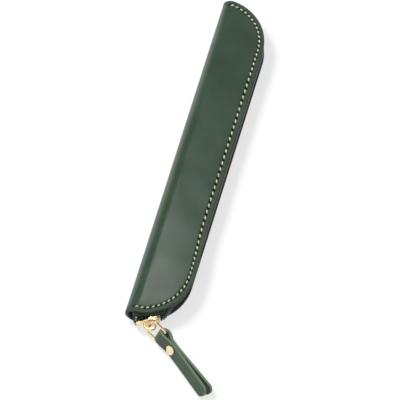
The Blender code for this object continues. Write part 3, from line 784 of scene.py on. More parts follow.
def gold(name, low, high, scale, deep, bright):
    """Plated gold: its tone and gloss change with fine scratches and smears."""
    made, tree, shader, place = new_material(name, Metallic=1.0)
    marks = use_group(tree, FINE_SCRATCHES, place, scale)
    gloss = span(tree, marks["Smears"], 0.25, 0.75, low, high)
    gloss = calculate(tree, "ADD", gloss, times(tree, marks["Height"], SCRATCH_DULLNESS))
    paint(tree, shader, two_tone(tree, marks["Smears"], deep, bright), gloss)
    add_bump(tree, shader, calculate(tree, "SUBTRACT", 1.0, marks["Height"]), SCRATCH_BUMP)
    return made


def floor_paper():
    """White ground. Where it is seen or mirrored it is white, with a lighter cast shadow."""
    made = bpy.data.materials.new("floor_paper")
    made.use_nodes = True
    tree = made.node_tree
    tree.nodes.remove(tree.nodes["Principled BSDF"])
    place = add_node(tree, "ShaderNodeTexCoord").outputs["Object"]
    white = blend_colour(tree, noise_at(tree, place, PAPER_SCALE, 3.0), PAPER_DEEP, PAPER_LIGHT)
    lit = add_node(tree, "ShaderNodeBsdfDiffuse", {"Color": white})
    glow = add_node(tree, "ShaderNodeEmission", {"Color": WHITE, "Strength": PAPER_GLOW})
    path = add_node(tree, "ShaderNodeLightPath").outputs
    direct = calculate(tree, "MAXIMUM", path["Is Camera Ray"], path["Is Glossy Ray"])
    direct = calculate(tree, "MAXIMUM", direct, path["Is Transmission Ray"])
    chosen = mix_shaders(tree, direct, lit, mix_shaders(tree, PAPER_GLOW_SHARE, lit, glow))
    feed(tree, tree.nodes["Material Output"].inputs["Surface"], chosen.outputs[0])
    return made


# Leather cover


def across_of(x):
    """Distance across the flat pattern from the line where the fold begins, for a place in plan."""
    if x >= FOLD_X:
        return x - FOLD_X
    return -MID_HEIGHT * math.asin(min((FOLD_X - x) / MID_HEIGHT, 1.0))


def rolled(across, y):
    """A point of the flat pattern on the front half, about the mid plane."""
    turn = max(-across, 0.0) / MID_HEIGHT
    x = FOLD_X + max(across, 0.0) - MID_HEIGHT * math.sin(turn)
    return Vector((x, y, MID_HEIGHT * math.cos(turn)))


def edge_spot(distance):
    """Point of the open edge beside a distance along the stitch line, and the way in from there."""
    if distance > SEAM_LENGTH / 2:
        spot, way = edge_spot(SEAM_LENGTH - distance)
        return Vector((spot.x, -spot.y)), Vector((way.x, -way.y))
    turn = SEAM_START + distance / SEAM_RADIUS
    if turn < 0:
        across = max(across_of(CORNER_X) + turn * SEAM_RADIUS, -FOLD_REACH)
        return Vector((rolled(across, 0).x, -POUCH_LENGTH / 2)), Vector((0, 1))
    if turn < math.pi / 2:
        way = Vector((-math.sin(turn), math.cos(turn)))
        return Vector((CORNER_X, -CORNER_Y)) - way * CORNER_RADIUS, way
    return Vector((POUCH_WIDTH / 2, distance - SEAM_ARC - CORNER_Y)), Vector((-1, 0))


LEAD = SEAM_START * SEAM_RADIUS + FOLD_REACH + across_of(CORNER_X)


def pitch_at(distance):
    """Length of a stitch: short round the corners, longer along the straight edge."""
    past_corner = min(distance, SEAM_LENGTH - distance) - SEAM_ARC
    return CURVE_PITCH + (STRAIGHT_PITCH - CURVE_PITCH) * smoothstep(past_corner / PITCH_CHANGE)


def hole_places():
    """Distances of the stitch holes along the stitch line."""
    places = [0.0]
    while places[-1] < SEAM_LENGTH:
        places.append(places[-1] + pitch_at(places[-1]))
    return [place * SEAM_LENGTH / places[-1] for place in places]


HOLES = hole_places()
STITCH_COUNT = len(HOLES) - 1


def seam_distance(number):
    """Distance along the stitch line of a place that is counted in stitches."""
    index = min(max(math.floor(number), 0), STITCH_COUNT - 1)
    return HOLES[index] + (HOLES[index + 1] - HOLES[index]) * (number - index)


def cover_stations():
    """Distances along the stitch line, from the spine's bottom end to its top end."""
    lead = [LEAD * step / LEAD_STATIONS for step in range(LEAD_STATIONS, 0, -1)]
    count = STITCH_COUNT * STATIONS_PER_STITCH
    seam = [seam_distance(step / STATIONS_PER_STITCH) for step in range(count + 1)]
    return [-step for step in lead] + seam + [SEAM_LENGTH + step for step in reversed(lead)]


def row_place(row):
    """Inset of a row from the edge, and the share of its way from there to the spine."""
    last = len(ROW_INSETS) - 1
    return ROW_INSETS[min(row, last)], max(row - last, 0) / BODY_ROWS


def cover_point(distance, row):
    """A point of the front half: rows follow the edge first, then spread out to the spine."""
    spot, way = edge_spot(distance)
    inset, share = row_place(row)
    plan = spot + way * inset
    target = SPINE_ROW_REACH * (2 * (distance + LEAD) / (SEAM_LENGTH + 2 * LEAD) - 1)
    across = across_of(plan.x)
    return rolled(across - (FOLD_REACH + across) * share, plan.y + (target - plan.y) * share)


def seam_mark(distance, row):
    """Place in stitches, inset and stitch length in millimetres; the length is 0 beyond the seam."""
    inset, share = row_place(row)
    inset += share * POUCH_WIDTH
    index = min(max(bisect.bisect_right(HOLES, distance) - 1, 0), STITCH_COUNT - 1)
    length = HOLES[index + 1] - HOLES[index]
    number = index + (distance - HOLES[index]) / length
    shown = length * METRES_TO_MM if -MARK_BEYOND_END < number < STITCH_COUNT + MARK_BEYOND_END else 0.0
    return number, inset * METRES_TO_MM, shown


def loose_edge(point):
    """How far the front's edge hangs over: outward, and most round the bottom corner."""
    out = Vector((point.x - CORNER_X, min(point.y + CORNER_Y, 0), 0))
    along = point.y
    if out.y < 0:
        along = -CORNER_Y - CORNER_RADIUS * (math.pi / 2 - math.atan2(out.x, -out.y))
    share = smoothstep((OVERHANG_TO - along) / OVERHANG_FADE)
    share *= smoothstep((along - OVERHANG_FROM) / OVERHANG_RISE)
    return out.normalized() * OVERHANG * share * smoothstep(out.length / CORNER_RADIUS)


def settled(point):
    """Where a point of the pouch lies after use: a crowned front, a loose edge and faint ripples."""
    front = max((point.z - MID_HEIGHT) / MID_HEIGHT, 0.0)
    over = min(max((point.x - FOLD_X) / (POUCH_WIDTH / 2 - FOLD_X), 0.0), 1.0)
    ends = 1 - min(abs(point.y) / (POUCH_LENGTH / 2), 1.0) ** 4
    rise = CROWN_RISE * (1 - over ** 2) * ends * front ** 4
    ripple = RIPPLE * noise.noise(Vector((point.x, point.y, 0)) / RIPPLE_LENGTH) * front ** 2
    return point + loose_edge(point) * front ** 2 + UP * (rise + ripple)


def from_core(point):
    """The way to a point of the leather from the mid plane or, at the fold, from the fold's axis."""
    return Vector((min(point.x - FOLD_X, 0.0), 0, point.z - MID_HEIGHT))


def out_of_panel(point):
    """Direction out of the leather at a point: up or down, and round the fold."""
    return from_core(point).normalized()


def press_seam(cover):
    """Sinks the stitch line and its holes into the outer faces."""
    marks = [item.vector.copy() for item in cover.data.attributes["seam"].data]
    for vert, mark in zip(cover.data.vertices, marks):
        if from_core(vert.co).length < MID_HEIGHT - LEATHER / 2 or mark.z < LEAST_STITCH:
            continue
        off_line = mark.y / METRES_TO_MM - SEAM_INSET
        off_hole = (mark.x - round(mark.x)) * mark.z / METRES_TO_MM
        depth = GROOVE_DEPTH if vert.co.z > MID_HEIGHT else BACK_GROOVE_DEPTH
        depth *= bell(off_line / GROOVE_WIDTH)
        depth += HOLE_DEPTH * bell(off_line / HOLE_WIDTH) * bell(off_hole / HOLE_WIDTH)
        vert.co -= out_of_panel(vert.co) * depth


def leather_cover(*finishes):
    """The folded sheet: laid out from its open edge, folded at the spine and given its thickness."""
    stations = cover_stations()
    columns = len(stations) - 1
    rows = len(ROW_INSETS) - 1 + BODY_ROWS
    cover = laid_grid("leather_cover", columns, rows, lambda column, row: cover_point(stations[column], row))
    mark_grid(cover, "seam", columns, lambda column, row: seam_mark(stations[column], row))
    face_towards(cover, UP)
    modifier(cover, "MIRROR", use_axis=(False, False, True), use_clip=True, merge_threshold=MERGE)
    apply_modifiers(cover)
    for vert in cover.data.vertices:
        vert.co = settled(vert.co + UP * MID_HEIGHT)
    thick_leather(cover, LEATHER, -1, EDGE_ROUND, finishes)
    press_seam(cover)
    return smooth(cover, 50)


# Stitches


def stitch_template(name, finish):
    """One stitch of two twisted plies that dives into a hole at each end. X runs along the seam."""
    plies = []
    for phase in (0, math.pi):
        points = []
        for step in range(PLY_STEPS):
            along = 2 * step / (PLY_STEPS - 1) - 1
            turn = phase + math.pi * PLY_TURNS * along
            dive = max(STITCH_RISE * (1 - (along * STRAIGHT_PITCH / 2 / STITCH_SHOWN) ** 4), -HOLE_DEPTH)
            points.append((along * STRAIGHT_PITCH * STITCH_HALF_SHARE, PLY_TWIST_RADIUS * math.cos(turn),
                           dive + PLY_TWIST_RADIUS * math.sin(turn)))
        plies.append(polyline(name + "_ply", points, PLY_RADIUS))
    return smooth(finished(joined(name, plies), finish))


def seam_place(place, side, depth, outward):
    """Where a stitch lies: X along the seam, Z out of the leather or into the pouch."""
    points = []
    for nudge in (-STITCH_PROBE, 0, STITCH_PROBE):
        spot, way = edge_spot(seam_distance(place + nudge))
        plan = spot + way * SEAM_INSET
        on_front = rolled(across_of(plan.x), plan.y)
        on_panel = Vector((on_front.x, on_front.y, MID_HEIGHT + side * on_front.z))
        points.append(settled(on_panel - out_of_panel(on_panel) * depth))
    out = out_of_panel(points[1]) * outward
    along = (points[2] - points[0]).normalized()
    lie = frame_at(points[1], along, out.cross(along).normalized(), out)
    share = (seam_distance(place + 0.5) - seam_distance(place - 0.5)) / STRAIGHT_PITCH
    return lie @ Matrix.Rotation(STITCH_SLANT, 4, "Z") @ Matrix.Scale(share, 4, (1, 0, 0))


def stitches(name, side, depth, outward, finish):
    """The stitches of one seam on one face."""
    places = [seam_place(index + 0.5, side, depth, outward) for index in range(STITCH_COUNT)]
    return join_copies(name, stitch_template(name, finish), places)


# Zip


def corner_point(radius, angle):
    return Vector((CORNER_X + radius * math.sin(angle), -CORNER_Y - radius * math.cos(angle), 0))


def slider_angle():
    run = SPINE_X + SLIDER_FROM_SPINE - CORNER_X
    return math.asin(run / (CORNER_RADIUS + SLIDER_STAND_OUT))


def slider_centre():
    return corner_point(CORNER_RADIUS + SLIDER_STAND_OUT, slider_angle()) + UP * MID_HEIGHT


def slider_axis():
    """Direction of the chain through the slider, from its nose towards its tail."""
    return heading(slider_angle() + SLIDER_TILT)


def slider_frame():
    """Place of the slider: X runs to its tail, Y up and Z out of the pouch."""
    axis = slider_axis()
    return frame_at(slider_centre(), axis, UP, axis.cross(UP))


def eased(start, start_way, end, end_way):
    """A smooth line that leaves one place and reaches another in given directions."""
    lead = (end - start).length * LEAD_HANDLE_SHARE
    return interpolate_bezier(start, start + start_way * lead, end - end_way * lead, end, ZIP_STEPS)


def zip_path():
    """Middle line of the coil in plan, before and after the slider's mouth."""
    radius = CORNER_RADIUS - ZIP_INSET
    start = Vector((SPINE_X + TAPE_FROM_SPINE, -POUCH_LENGTH / 2 + ZIP_INSET, 0))
    centre = slider_centre() - UP * MID_HEIGHT
    axis = slider_axis()
    nose = centre - axis * (SLIDER_LENGTH / 2 - CHAIN_FROM_NOSE + STOP_LENGTH + 2 * CLEARANCE)
    tail = centre + axis * (SLIDER_LENGTH / 2 + CLEARANCE)
    join = corner_point(radius, REJOIN_ANGLE)
    entry = eased(start, heading(-math.pi / 4), nose, axis)
    rejoin = eased(tail, axis, join, heading(REJOIN_ANGLE))
    turn = math.pi / 2 - REJOIN_ANGLE
    arc = [corner_point(radius, REJOIN_ANGLE + turn * step / ZIP_STEPS) for step in range(1, ZIP_STEPS + 1)]
    first = math.asin(min(max((start.x - CORNER_X) / radius, 0.0), 1.0))
    top = []
    for step in range(2 * ZIP_STEPS + 1):
        point = corner_point(radius, math.pi / 2 + (first - math.pi / 2) * step / (2 * ZIP_STEPS))
        top.append(Vector((point.x, -point.y, 0)))
    return entry, rejoin + arc + top


def resampled(points, count):
    """Evenly spaced points along a path, each with its direction and its distance from the start."""
    total = path_length(points)
    found = []
    done, index = 0.0, 0
    for step in range(count + 1):
        wanted = total * step / count
        while index < len(points) - 2 and done + (points[index + 1] - points[index]).length < wanted:
            done += (points[index + 1] - points[index]).length
            index += 1
        way = (points[index + 1] - points[index]).normalized()
        found.append((points[index] + way * (wanted - done), way, wanted))
    return found


def layer_rise(x, depth):
    """Height above the mid plane of a layer at x that lies a given depth under the outer face."""
    run = max(FOLD_X - x, 0.0)
    radius = MID_HEIGHT - depth
    return math.sqrt(max(radius * radius - run * run, 0.0))


def inset_foot(point, inset):
    """The point of the drawn in outline that lies straight inside a point of the open edge."""
    if abs(point.y) <= CORNER_Y:
        return Vector((POUCH_WIDTH / 2 - inset, point.y, 0))
    radius = CORNER_RADIUS - inset
    end = math.copysign(1, point.y)
    angle = math.atan2(point.x - CORNER_X, abs(point.y) - CORNER_Y)
    if angle < 0:
        return Vector((point.x, end * (CORNER_Y + radius), 0))
    return Vector((CORNER_X + radius * math.sin(angle), end * (CORNER_Y + radius * math.cos(angle)), 0))


def tape_section(point, way):
    """One cross-section of a tape above the mid plane: up its web, round the bend, in along its flange."""
    depth = LEATHER + CLEARANCE + TAPE / 2
    web = point + UP.cross(way) * (COIL_THICKNESS / 2 + CLEARANCE + TAPE / 2)
    foot = inset_foot(web, ZIP_INSET + TAPE_FLANGE)
    inward = (foot - web).normalized()
    top = layer_rise(web.x, depth)
    low = UP * TAPE_EDGE
    high = UP * (top - TAPE_BEND)
    section = [web + low.lerp(high, step / TAPE_WEB_ROWS) for step in range(TAPE_WEB_ROWS)]
    for step in range(TAPE_BEND_ROWS):
        turn = math.pi / 2 * step / TAPE_BEND_ROWS
        bend = inward * (1 - math.cos(turn)) + UP * math.sin(turn)
        section.append(web + high + bend * TAPE_BEND)
    bent = web + inward * TAPE_BEND + UP * top
    end = foot + UP * layer_rise(foot.x, depth)
    section += [bent.lerp(end, step / TAPE_FLANGE_ROWS) for step in range(TAPE_FLANGE_ROWS + 1)]
    return section


def zip_tape(name, side, cloth):
    """A woven tape from its edge at the coil to its flange under the seam."""
    entry, rest = zip_path()
    stations = resampled(entry + rest, TAPE_STATIONS)
    sections = [tape_section(point, way) for point, way, _ in stations]
    rows = len(sections[0]) - 1

    def place(column, row):
        point = sections[column][row]
        return settled(Vector((point.x, point.y, MID_HEIGHT + side * point.z)))

    def lay(column, row):
        across = path_length(sections[column][:row + 1])
        return stations[column][2] * METRES_TO_MM, across * METRES_TO_MM, 0

    tape = laid_grid(name, TAPE_STATIONS, rows, place)
    mark_grid(tape, "lay", TAPE_STATIONS, lay)
    face_towards(tape, UP * side)
    modifier(tape, "SOLIDIFY", thickness=TAPE, offset=0)
    return smooth(finished(apply_modifiers(tape), cloth), 40)


def spread(along):
    """How far the slider's mouth holds a row from the mid plane, at a place along the slider."""
    return MOUTH_SPREAD * smoothstep((SPREAD_START - along) / (SPREAD_START + SPREAD_END))


def coil_guide(side):
    """The line that one row follows, as a curve object, and its length."""
    rest = zip_path()[1]
    first = -SLIDER_LENGTH / 2 + CHAIN_FROM_NOSE
    last = SLIDER_LENGTH / 2 + CLEARANCE
    steps = [first + (last - first) * step / ZIP_STEPS for step in range(ZIP_STEPS)]
    points = [slider_centre() + slider_axis() * u + UP * side * spread(u) for u in steps]
    points += [point + UP * MID_HEIGHT for point in rest]
    guide = poly_curve("coil_guide", points)
    guide.data.twist_mode = "Z_UP"
    return guide, path_length(points)


def coil_turn(side, shift):
    """The points of one wound turn: along one leg to the head, back along the other and round the root."""
    leg = (COIL_THICKNESS - COIL_WIRE) / 2
    head = -COIL_WIRE / 2
    root = COIL_OUTER + head
    neck = root * 0.9
    foot = root * 0.3
    points = ((0.00, -leg, neck), (0.10, -leg, foot), (0.20, -leg * 0.9, 0.0), (0.34, -leg * 0.4, head),
              (0.50, leg * 0.4, head), (0.60, leg * 0.9, 0.0), (0.66, leg, foot),
              (0.74, leg, neck), (0.88, 0.0, root), (1.00, -leg, neck))
    return [(shift + COIL_PITCH * x, y, side * z) for x, y, z in points]


def zip_coil(name, side, nylon, thread):
    """A row of the coil: one turn, repeated along the guide, with the two threads that sew it down."""
    guide, length = coil_guide(side)
    count = int((length - TAPE_BEYOND_STOP - BOTTOM_STOP_LENGTH - CLEARANCE) / COIL_PITCH)
    shift = COIL_PITCH / 2 if side > 0 else 0.0
    sewn = [finished(polyline(name, coil_turn(side, shift), COIL_WIRE / 2, 1), nylon)]
    lift = COIL_THICKNESS / 2 + SEWING_THREAD / 2
    for height in SEWING_HEIGHTS:
        points = [(shift + COIL_PITCH * x, lift * out, side * height * COIL_OUTER) for x, out in SEWING_LOOP]
        sewn.append(finished(polyline(name + "_sewing", points, SEWING_THREAD / 2), thread))
    row = joined(name, reversed(sewn))
    modifier(row, "ARRAY", count=count, use_relative_offset=False, use_constant_offset=True,
             constant_offset_displace=(COIL_PITCH, 0, 0))
    modifier(row, "CURVE", object=guide, deform_axis="POS_X")
    apply_modifiers(row)
    bpy.data.objects.remove(guide, do_unlink=True)
    return smooth(row)


# Slider


def wing_half_width(u, width, tail_width):
    """Half width of a wing of the slider at a place along it, with rounded ends."""
    half = SLIDER_LENGTH / 2
    nose = SLIDER_NOSE_WIDTH / 2
    swell = smoothstep((u - WAIST_FROM) / (WAIST_TO - WAIST_FROM))
    broad = nose + (width / 2 - nose) * swell
    past_shoulder = (u + half - SLIDER_SHOULDER) / (SLIDER_LENGTH - SLIDER_SHOULDER)
    broad += (tail_width - width) / 2 * smoothstep(past_shoulder)
    power = NOSE_POWER if u < 0 else TAIL_POWER
    return broad * (1 - min(abs(u) / half, 1.0) ** power) ** (1 / power)


def wing_plate(name, width, tail_width, base, rounding):
    """A wing of the slider: a round plate drawn out to the wing's outline, raised and rounded."""
    wing = added(name, bpy.ops.mesh.primitive_circle_add, vertices=WING_SIDES, radius=1, fill_type="NGON")
    for vert in wing.data.vertices:
        u = vert.co.x * SLIDER_LENGTH / 2
        half = wing_half_width(u, width, tail_width)
        vert.co = Vector((u, math.copysign(half, vert.co.y), base))
    edit(wing, "SELECT")
    bpy.ops.mesh.extrude_region_move(TRANSFORM_OT_translate={"value": (0, 0, SLIDER_WALL)})
    close_edit()
    return bevelled(recalculate_outward(wing), rounding, 4)


def flange(side):
    """A wall beside the chain: a block whose stations follow the row inside it and the wing outside it."""
    wall = added("flange", bpy.ops.mesh.primitive_cube_add, size=1)
    edit(wall, "SELECT")
    bpy.ops.mesh.subdivide(number_cuts=FLANGE_CUTS)
    close_edit()
    stop = SLIDER_LENGTH / 2 - FLANGE_SETBACK
    low = -COIL_THICKNESS / 2
    high = OUT_FACE + SLIDER_WALL * FLANGE_TOP_SHARE
    for vert in wall.data.vertices:
        z_share = vert.co.z + 0.5
        start = FLANGE_START + FLANGE_RAMP * (1 - z_share)
        u = start + (stop - start) * (vert.co.x + 0.5)
        inner = COIL_OUTER + CLEARANCE / 2 + spread(u)
        outer = wing_half_width(u, SLIDER_WIDTH, SLIDER_TAIL_WIDTH) - FLANGE_SETBACK
        y = inner + (max(outer, inner + FLANGE_LEAST) - inner) * (vert.co.y + 0.5)
        vert.co = Vector((u, side * y, low + (high - low) * z_share))
    return bevelled(recalculate_outward(wall), FLANGE_ROUND)


def notch(side):
    """A cutter for the slot that parts a flange's outer side in two."""
    outer = wing_half_width(NOTCH_PLACE, SLIDER_WIDTH, SLIDER_TAIL_WIDTH)
    middle = (NOTCH_PLACE, side * outer, OUT_FACE)
    extent = (NOTCH_WIDTH, 2 * NOTCH_DEPTH, NOTCH_HEIGHT)
    cutter = added("notch", bpy.ops.mesh.primitive_cube_add, size=1, location=middle, scale=extent)
    bpy.ops.object.transform_apply(location=True, rotation=True, scale=True)
    return cutter


def diamond_post():
    """The wedge in the nose that parts the rows and holds the two wings together."""
    low = -IN_FACE - SLIDER_WALL / 2
    high = OUT_FACE + SLIDER_WALL / 2
    post = added("diamond_post", bpy.ops.mesh.primitive_cube_add, size=1)
    for vert in post.data.vertices:
        taper = DIAMOND_TAPER if vert.co.x > 0 else 1.0
        u = DIAMOND_SETBACK - SLIDER_LENGTH / 2 + DIAMOND_LENGTH * (vert.co.x + 0.5)
        vert.co = Vector((u, DIAMOND_WIDTH * vert.co.y * taper, low + (high - low) * (vert.co.z + 0.5)))
    edit(post, "SELECT")
    bpy.ops.mesh.bevel(offset=DIAMOND_ROUND, segments=2, affect="EDGES")
    close_edit()
    return post


def crown_arch():
    """The arch on the outer wing that the bail passes through."""
    face = OUT_FACE + SLIDER_WALL
    half = (CROWN_HOLE_LENGTH + CROWN_WALL) / 2
    top = face + CROWN_HOLE_HEIGHT + CROWN_WALL / 2
    foot = face - SLIDER_WALL / 2
    line = [(-half, foot), (-half, (foot + top - CROWN_TURN) / 2)]
    for step in range(CROWN_TURN_STEPS + 1):
        turn = math.pi / 2 * step / CROWN_TURN_STEPS
        line.append((-half + CROWN_TURN * (1 - math.cos(turn)), top - CROWN_TURN * (1 - math.sin(turn))))
    line += [(0, top)] + [(-x, z) for x, z in reversed(line)]

    def place(column, row):
        x, z = line[column]
        waist = CROWN_WIDTH / 2 * (1 - CROWN_NARROWING * smoothstep((z - foot) / (top - foot)))
        return Vector((x + CROWN_CENTRE, (2 * row / CROWN_ROWS - 1) * waist, z))

    crown = laid_grid("crown_arch", len(line) - 1, CROWN_ROWS, place)
    face_towards(crown, UP)
    modifier(crown, "SOLIDIFY", thickness=CROWN_WALL, offset=0, use_even_offset=True)
    return bevelled(recalculate_outward(apply_modifiers(crown)), CROWN_ROUND)


def slider(finish):
    """The cast slider."""
    face = wing_plate("slider_casting", SLIDER_WIDTH, SLIDER_TAIL_WIDTH, OUT_FACE, WING_ROUND)
    back = wing_plate("inner_wing", INNER_WING_WIDTH, INNER_WING_WIDTH, -IN_FACE - SLIDER_WALL,
                      WING_ROUND / 2)
    body = combine(face, (flange(1), flange(-1), diamond_post(), back, crown_arch()), "UNION")
    combine(body, (notch(1), notch(-1)), "DIFFERENCE")
    body.data.transform(slider_frame())
    return smooth(finished(body, finish), 40)


# Pull


def lean_way():
    """Direction of the bail's two bars, which lean from upright."""
    return heading(BAIL_LEAN_AZIMUTH) * math.sin(BAIL_LEAN) + UP * math.cos(BAIL_LEAN)


def square_way(azimuth):
    """The direction of a given azimuth that is square to the bail's bars."""
    rise = -math.tan(BAIL_LEAN) * math.cos(BAIL_LEAN_AZIMUTH - azimuth)
    return (heading(azimuth) + UP * rise).normalized()


def pull_frame(spot, azimuth):
    """A frame at a spot: X along an azimuth, Z along the bail's bars."""
    along = square_way(azimuth)
    lean = lean_way()
    return frame_at(spot, along, lean.cross(along), lean)


def bail_pivot():
    out = OUT_FACE + SLIDER_WALL + CROWN_HOLE_HEIGHT / 2
    return slider_frame() @ Vector((CROWN_CENTRE, 0, out))


def strap_pivot():
    return bail_pivot() + square_way(BAIL_AZIMUTH) * BAIL_LENGTH


def wire_bail(finish):
    """A ring of wire whose quarters are drawn apart into a frame with round corners."""
    bail = added("wire_bail", bpy.ops.mesh.primitive_torus_add, major_radius=BAIL_CORNER,
                 minor_radius=BAIL_WIRE / 2, major_segments=BAIL_SEGMENTS, minor_segments=BAIL_WIRE_SIDES)
    for vert in bail.data.vertices:
        x, y, z = vert.co
        x += math.copysign(BAIL_LENGTH / 2 - BAIL_CORNER, x) + BAIL_LENGTH / 2
        y += math.copysign(BAIL_WIDTH / 2 - BAIL_CORNER, y)
        vert.co = Vector((x, -z, y))
    bail.data.transform(pull_frame(bail_pivot(), BAIL_AZIMUTH))
    return smooth(finished(bail, finish))


def strap_frame():
    """Place of the strap: its loose loop hangs on the bar off its middle."""
    return pull_frame(strap_pivot(), STRAP_AZIMUTH) @ Matrix.Translation((0, STRAP_SHIFT, 0))


def layer_offset(x, loop, neck):
    """Distance of a strap layer's middle from the strap's mid plane, x along from the loop's middle."""
    pinched = (STRAP_LEATHER + CLEARANCE) / 2
    if x < neck:
        return loop + (pinched - loop) * smoothstep(x / neck)
    share = max((x - STRAP_SPLAY_FROM) / (STRAP_LENGTH - STRAP_SPLAY_FROM), 0.0)
    return pinched + STRAP_TIP_GAP / 2 * share ** STRAP_SPLAY_POWER


def strap_line():
    """The folded strap from one tip round the bar to the other: place, offset and half width."""
    half = STRAP_WIDTH / 2
    loop = BAIL_WIRE / 2 + STRAP_SLACK + STRAP_LEATHER / 2
    near = loop * STRAP_NEAR_SHARE + (1 - STRAP_NEAR_SHARE) * STRAP_LEATHER / 2
    layer = []
    for step in range(1, STRAP_TIP_STEPS + 1):
        turn = math.pi / 2 * step / STRAP_TIP_STEPS
        layer.append((STRAP_LENGTH - half * (1 - math.cos(turn)), half * math.sin(turn)))
    last = layer[-1][0]
    layer += [(last * (1 - step / STRAP_LAYER_STEPS), half) for step in range(1, STRAP_LAYER_STEPS)]
    line = [(x, layer_offset(x, loop, STRAP_NECK), width) for x, width in layer]
    for step in range(STRAP_LOOP_STEPS + 1):
        turn = math.pi / 2 + math.pi * step / STRAP_LOOP_STEPS
        line.append((loop * math.cos(turn), max(loop * math.sin(turn), near * math.sin(turn)), half))
    return line + [(x, -layer_offset(x, near, STRAP_NEAR_NECK), width) for x, width in reversed(layer)]


def leather_strap(*finishes):
    """The strap, folded round the bail's far bar and pinched by its rivet."""
    line = strap_line()

    def place(column, row):
        x, y, half = line[column]
        z = half * (2 * row / STRAP_ROWS - 1)
        near = bell(Vector((x - RIVET_PLACE, z)).length / (RIVET_RADIUS * RIVET_PRESS_REACH))
        return Vector((x, y - math.copysign(RIVET_PRESS, y) * near, z))

    def lay(column, row):
        x, _, half = line[column]
        from_side = half - abs(half * (2 * row / STRAP_ROWS - 1))
        from_tip = STRAP_LENGTH - x
        from_rivet = Vector((x - RIVET_PLACE, half - from_side)).length
        return x * METRES_TO_MM, min(from_side, from_tip) * METRES_TO_MM, from_rivet * METRES_TO_MM

    strap = laid_grid("leather_strap", len(line) - 1, STRAP_ROWS, place)
    mark_grid(strap, "lay", len(line) - 1, lay)
    if strap.data.polygons[len(strap.data.polygons) // 2].normal.x > 0:
        strap.data.flip_normals()
    thick_leather(strap, STRAP_LEATHER, 0, STRAP_EDGE_ROUND, finishes)
    strap.data.transform(strap_frame())
    hole = rivet_cylinder("rivet_hole", RIVET_COLLAR + CLEARANCE, 4 * STRAP_LEATHER)
    hole.data.transform(rivet_frame())
    return smooth(combine(strap, (hole,), "DIFFERENCE"), 50)


def rivet_frame():
    """Place of the rivet: its Z stands out of the strap's upper face."""
    turn = Matrix.Rotation(math.pi / 2, 4, "X")
    return strap_frame() @ Matrix.Translation((RIVET_PLACE, 0, 0)) @ turn


def rivet_cylinder(name, radius, depth):
    return added(name, bpy.ops.mesh.primitive_cylinder_add, vertices=RIVET_SIDES, radius=radius, depth=depth)


def rivet_half(name, face, stem_radius, stem_end, sign, finish):
    """A domed head on a short stem: the head's rim is inset and raised ring by ring."""
    head = rivet_cylinder(name, RIVET_RADIUS, RIVET_RIM)
    edit(head)
    select_upward(head)
    dome = RIVET_HEIGHT - RIVET_RIM
    for ring in range(RIVET_RINGS):
        low = math.pi / 2 * ring / RIVET_RINGS
        high = math.pi / 2 * (ring + RIVET_RING_SHARE) / RIVET_RINGS
        step_in = RIVET_RADIUS * (math.cos(low) ** RIVET_FLATNESS - math.cos(high) ** RIVET_FLATNESS)
        rise = dome * (math.sin(high) ** RIVET_FLATNESS - math.sin(low) ** RIVET_FLATNESS)
        bpy.ops.mesh.inset(thickness=step_in, depth=rise)
    close_edit()
    bevelled(head, RIVET_ROUND, 2, 60)
    head.data.transform(Matrix.Translation((0, 0, face + RIVET_RIM / 2)))
    length = face - stem_end + RIVET_RIM / 2
    stem = rivet_cylinder(name + "_stem", stem_radius, length)
    stem.data.transform(Matrix.Translation((0, 0, stem_end + length / 2)))
    combine(head, (stem,), "UNION")
    if sign < 0:
        head.data.transform(Matrix.Rotation(math.pi, 4, "X"))
    head.data.transform(rivet_frame())
    return smooth(finished(head, finish), 40)


# Stage


def stage():
    """White ground under the pouch."""
    floor = added("ground", bpy.ops.mesh.primitive_plane_add, size=GROUND_SIZE)
    floor.data.transform(Matrix.Translation((0, 0, -GROUND_DROP)))
    finished(floor, floor_paper())


def area_lamp(name, place, aim, size, power):
    data = bpy.data.lights.new(name, "AREA")
    data.shape = "SQUARE"
    data.size = size
    data.energy = power
    lamp = bpy.data.objects.new(name, data)
    lamp.location = place
    lamp.rotation_euler = (Vector(aim) - Vector(place)).to_track_quat("-Z", "Y").to_euler()
    bpy.context.collection.objects.link(lamp)
    return lamp


def lamps():
    """Two lamps that light the colours, and one whose reflection is the sheen on the leather."""
    for name, setting in (("key_lamp", KEY_LAMP), ("side_lamp", SIDE_LAMP)):
        area_lamp(name, *setting).visible_glossy = False
    area_lamp("sheen_lamp", *SHEEN_LAMP).visible_diffuse = False


def sky():
    """A grey-white surround, white where it is seen and darker to the left where it is mirrored."""
    world = bpy.data.worlds.new("surround")
    world.use_nodes = True
    tree = world.node_tree
    tree.nodes.clear()
    path = add_node(tree, "ShaderNodeLightPath").outputs
    place = add_node(tree, "ShaderNodeTexCoord").outputs["Generated"]
    right, away, height = add_node(tree, "ShaderNodeSeparateXYZ", {"Vector": place}).outputs
    lit = span(tree, height, -0.1, 0.8, 0.26, 0.52)
    beyond = span(tree, right, -0.75, 0.1, 0.03, 0.30)
    mirrored = calculate(tree, "MAXIMUM", beyond, span(tree, away, 0.30, -0.25, 0.0, 0.95))
    level = add_node(tree, "ShaderNodeMix", {"Factor": path["Is Glossy Ray"], "A": lit, "B": mirrored})
    light = add_node(tree, "ShaderNodeBackground", {"Color": WHITE, "Strength": level.outputs["Result"]})
    white = add_node(tree, "ShaderNodeBackground", {"Color": WHITE, "Strength": 1.0})
    chosen = mix_shaders(tree, path["Is Camera Ray"], light, white)
    add_node(tree, "ShaderNodeOutputWorld", {"Surface": chosen.outputs[0]})
    bpy.context.scene.world = world


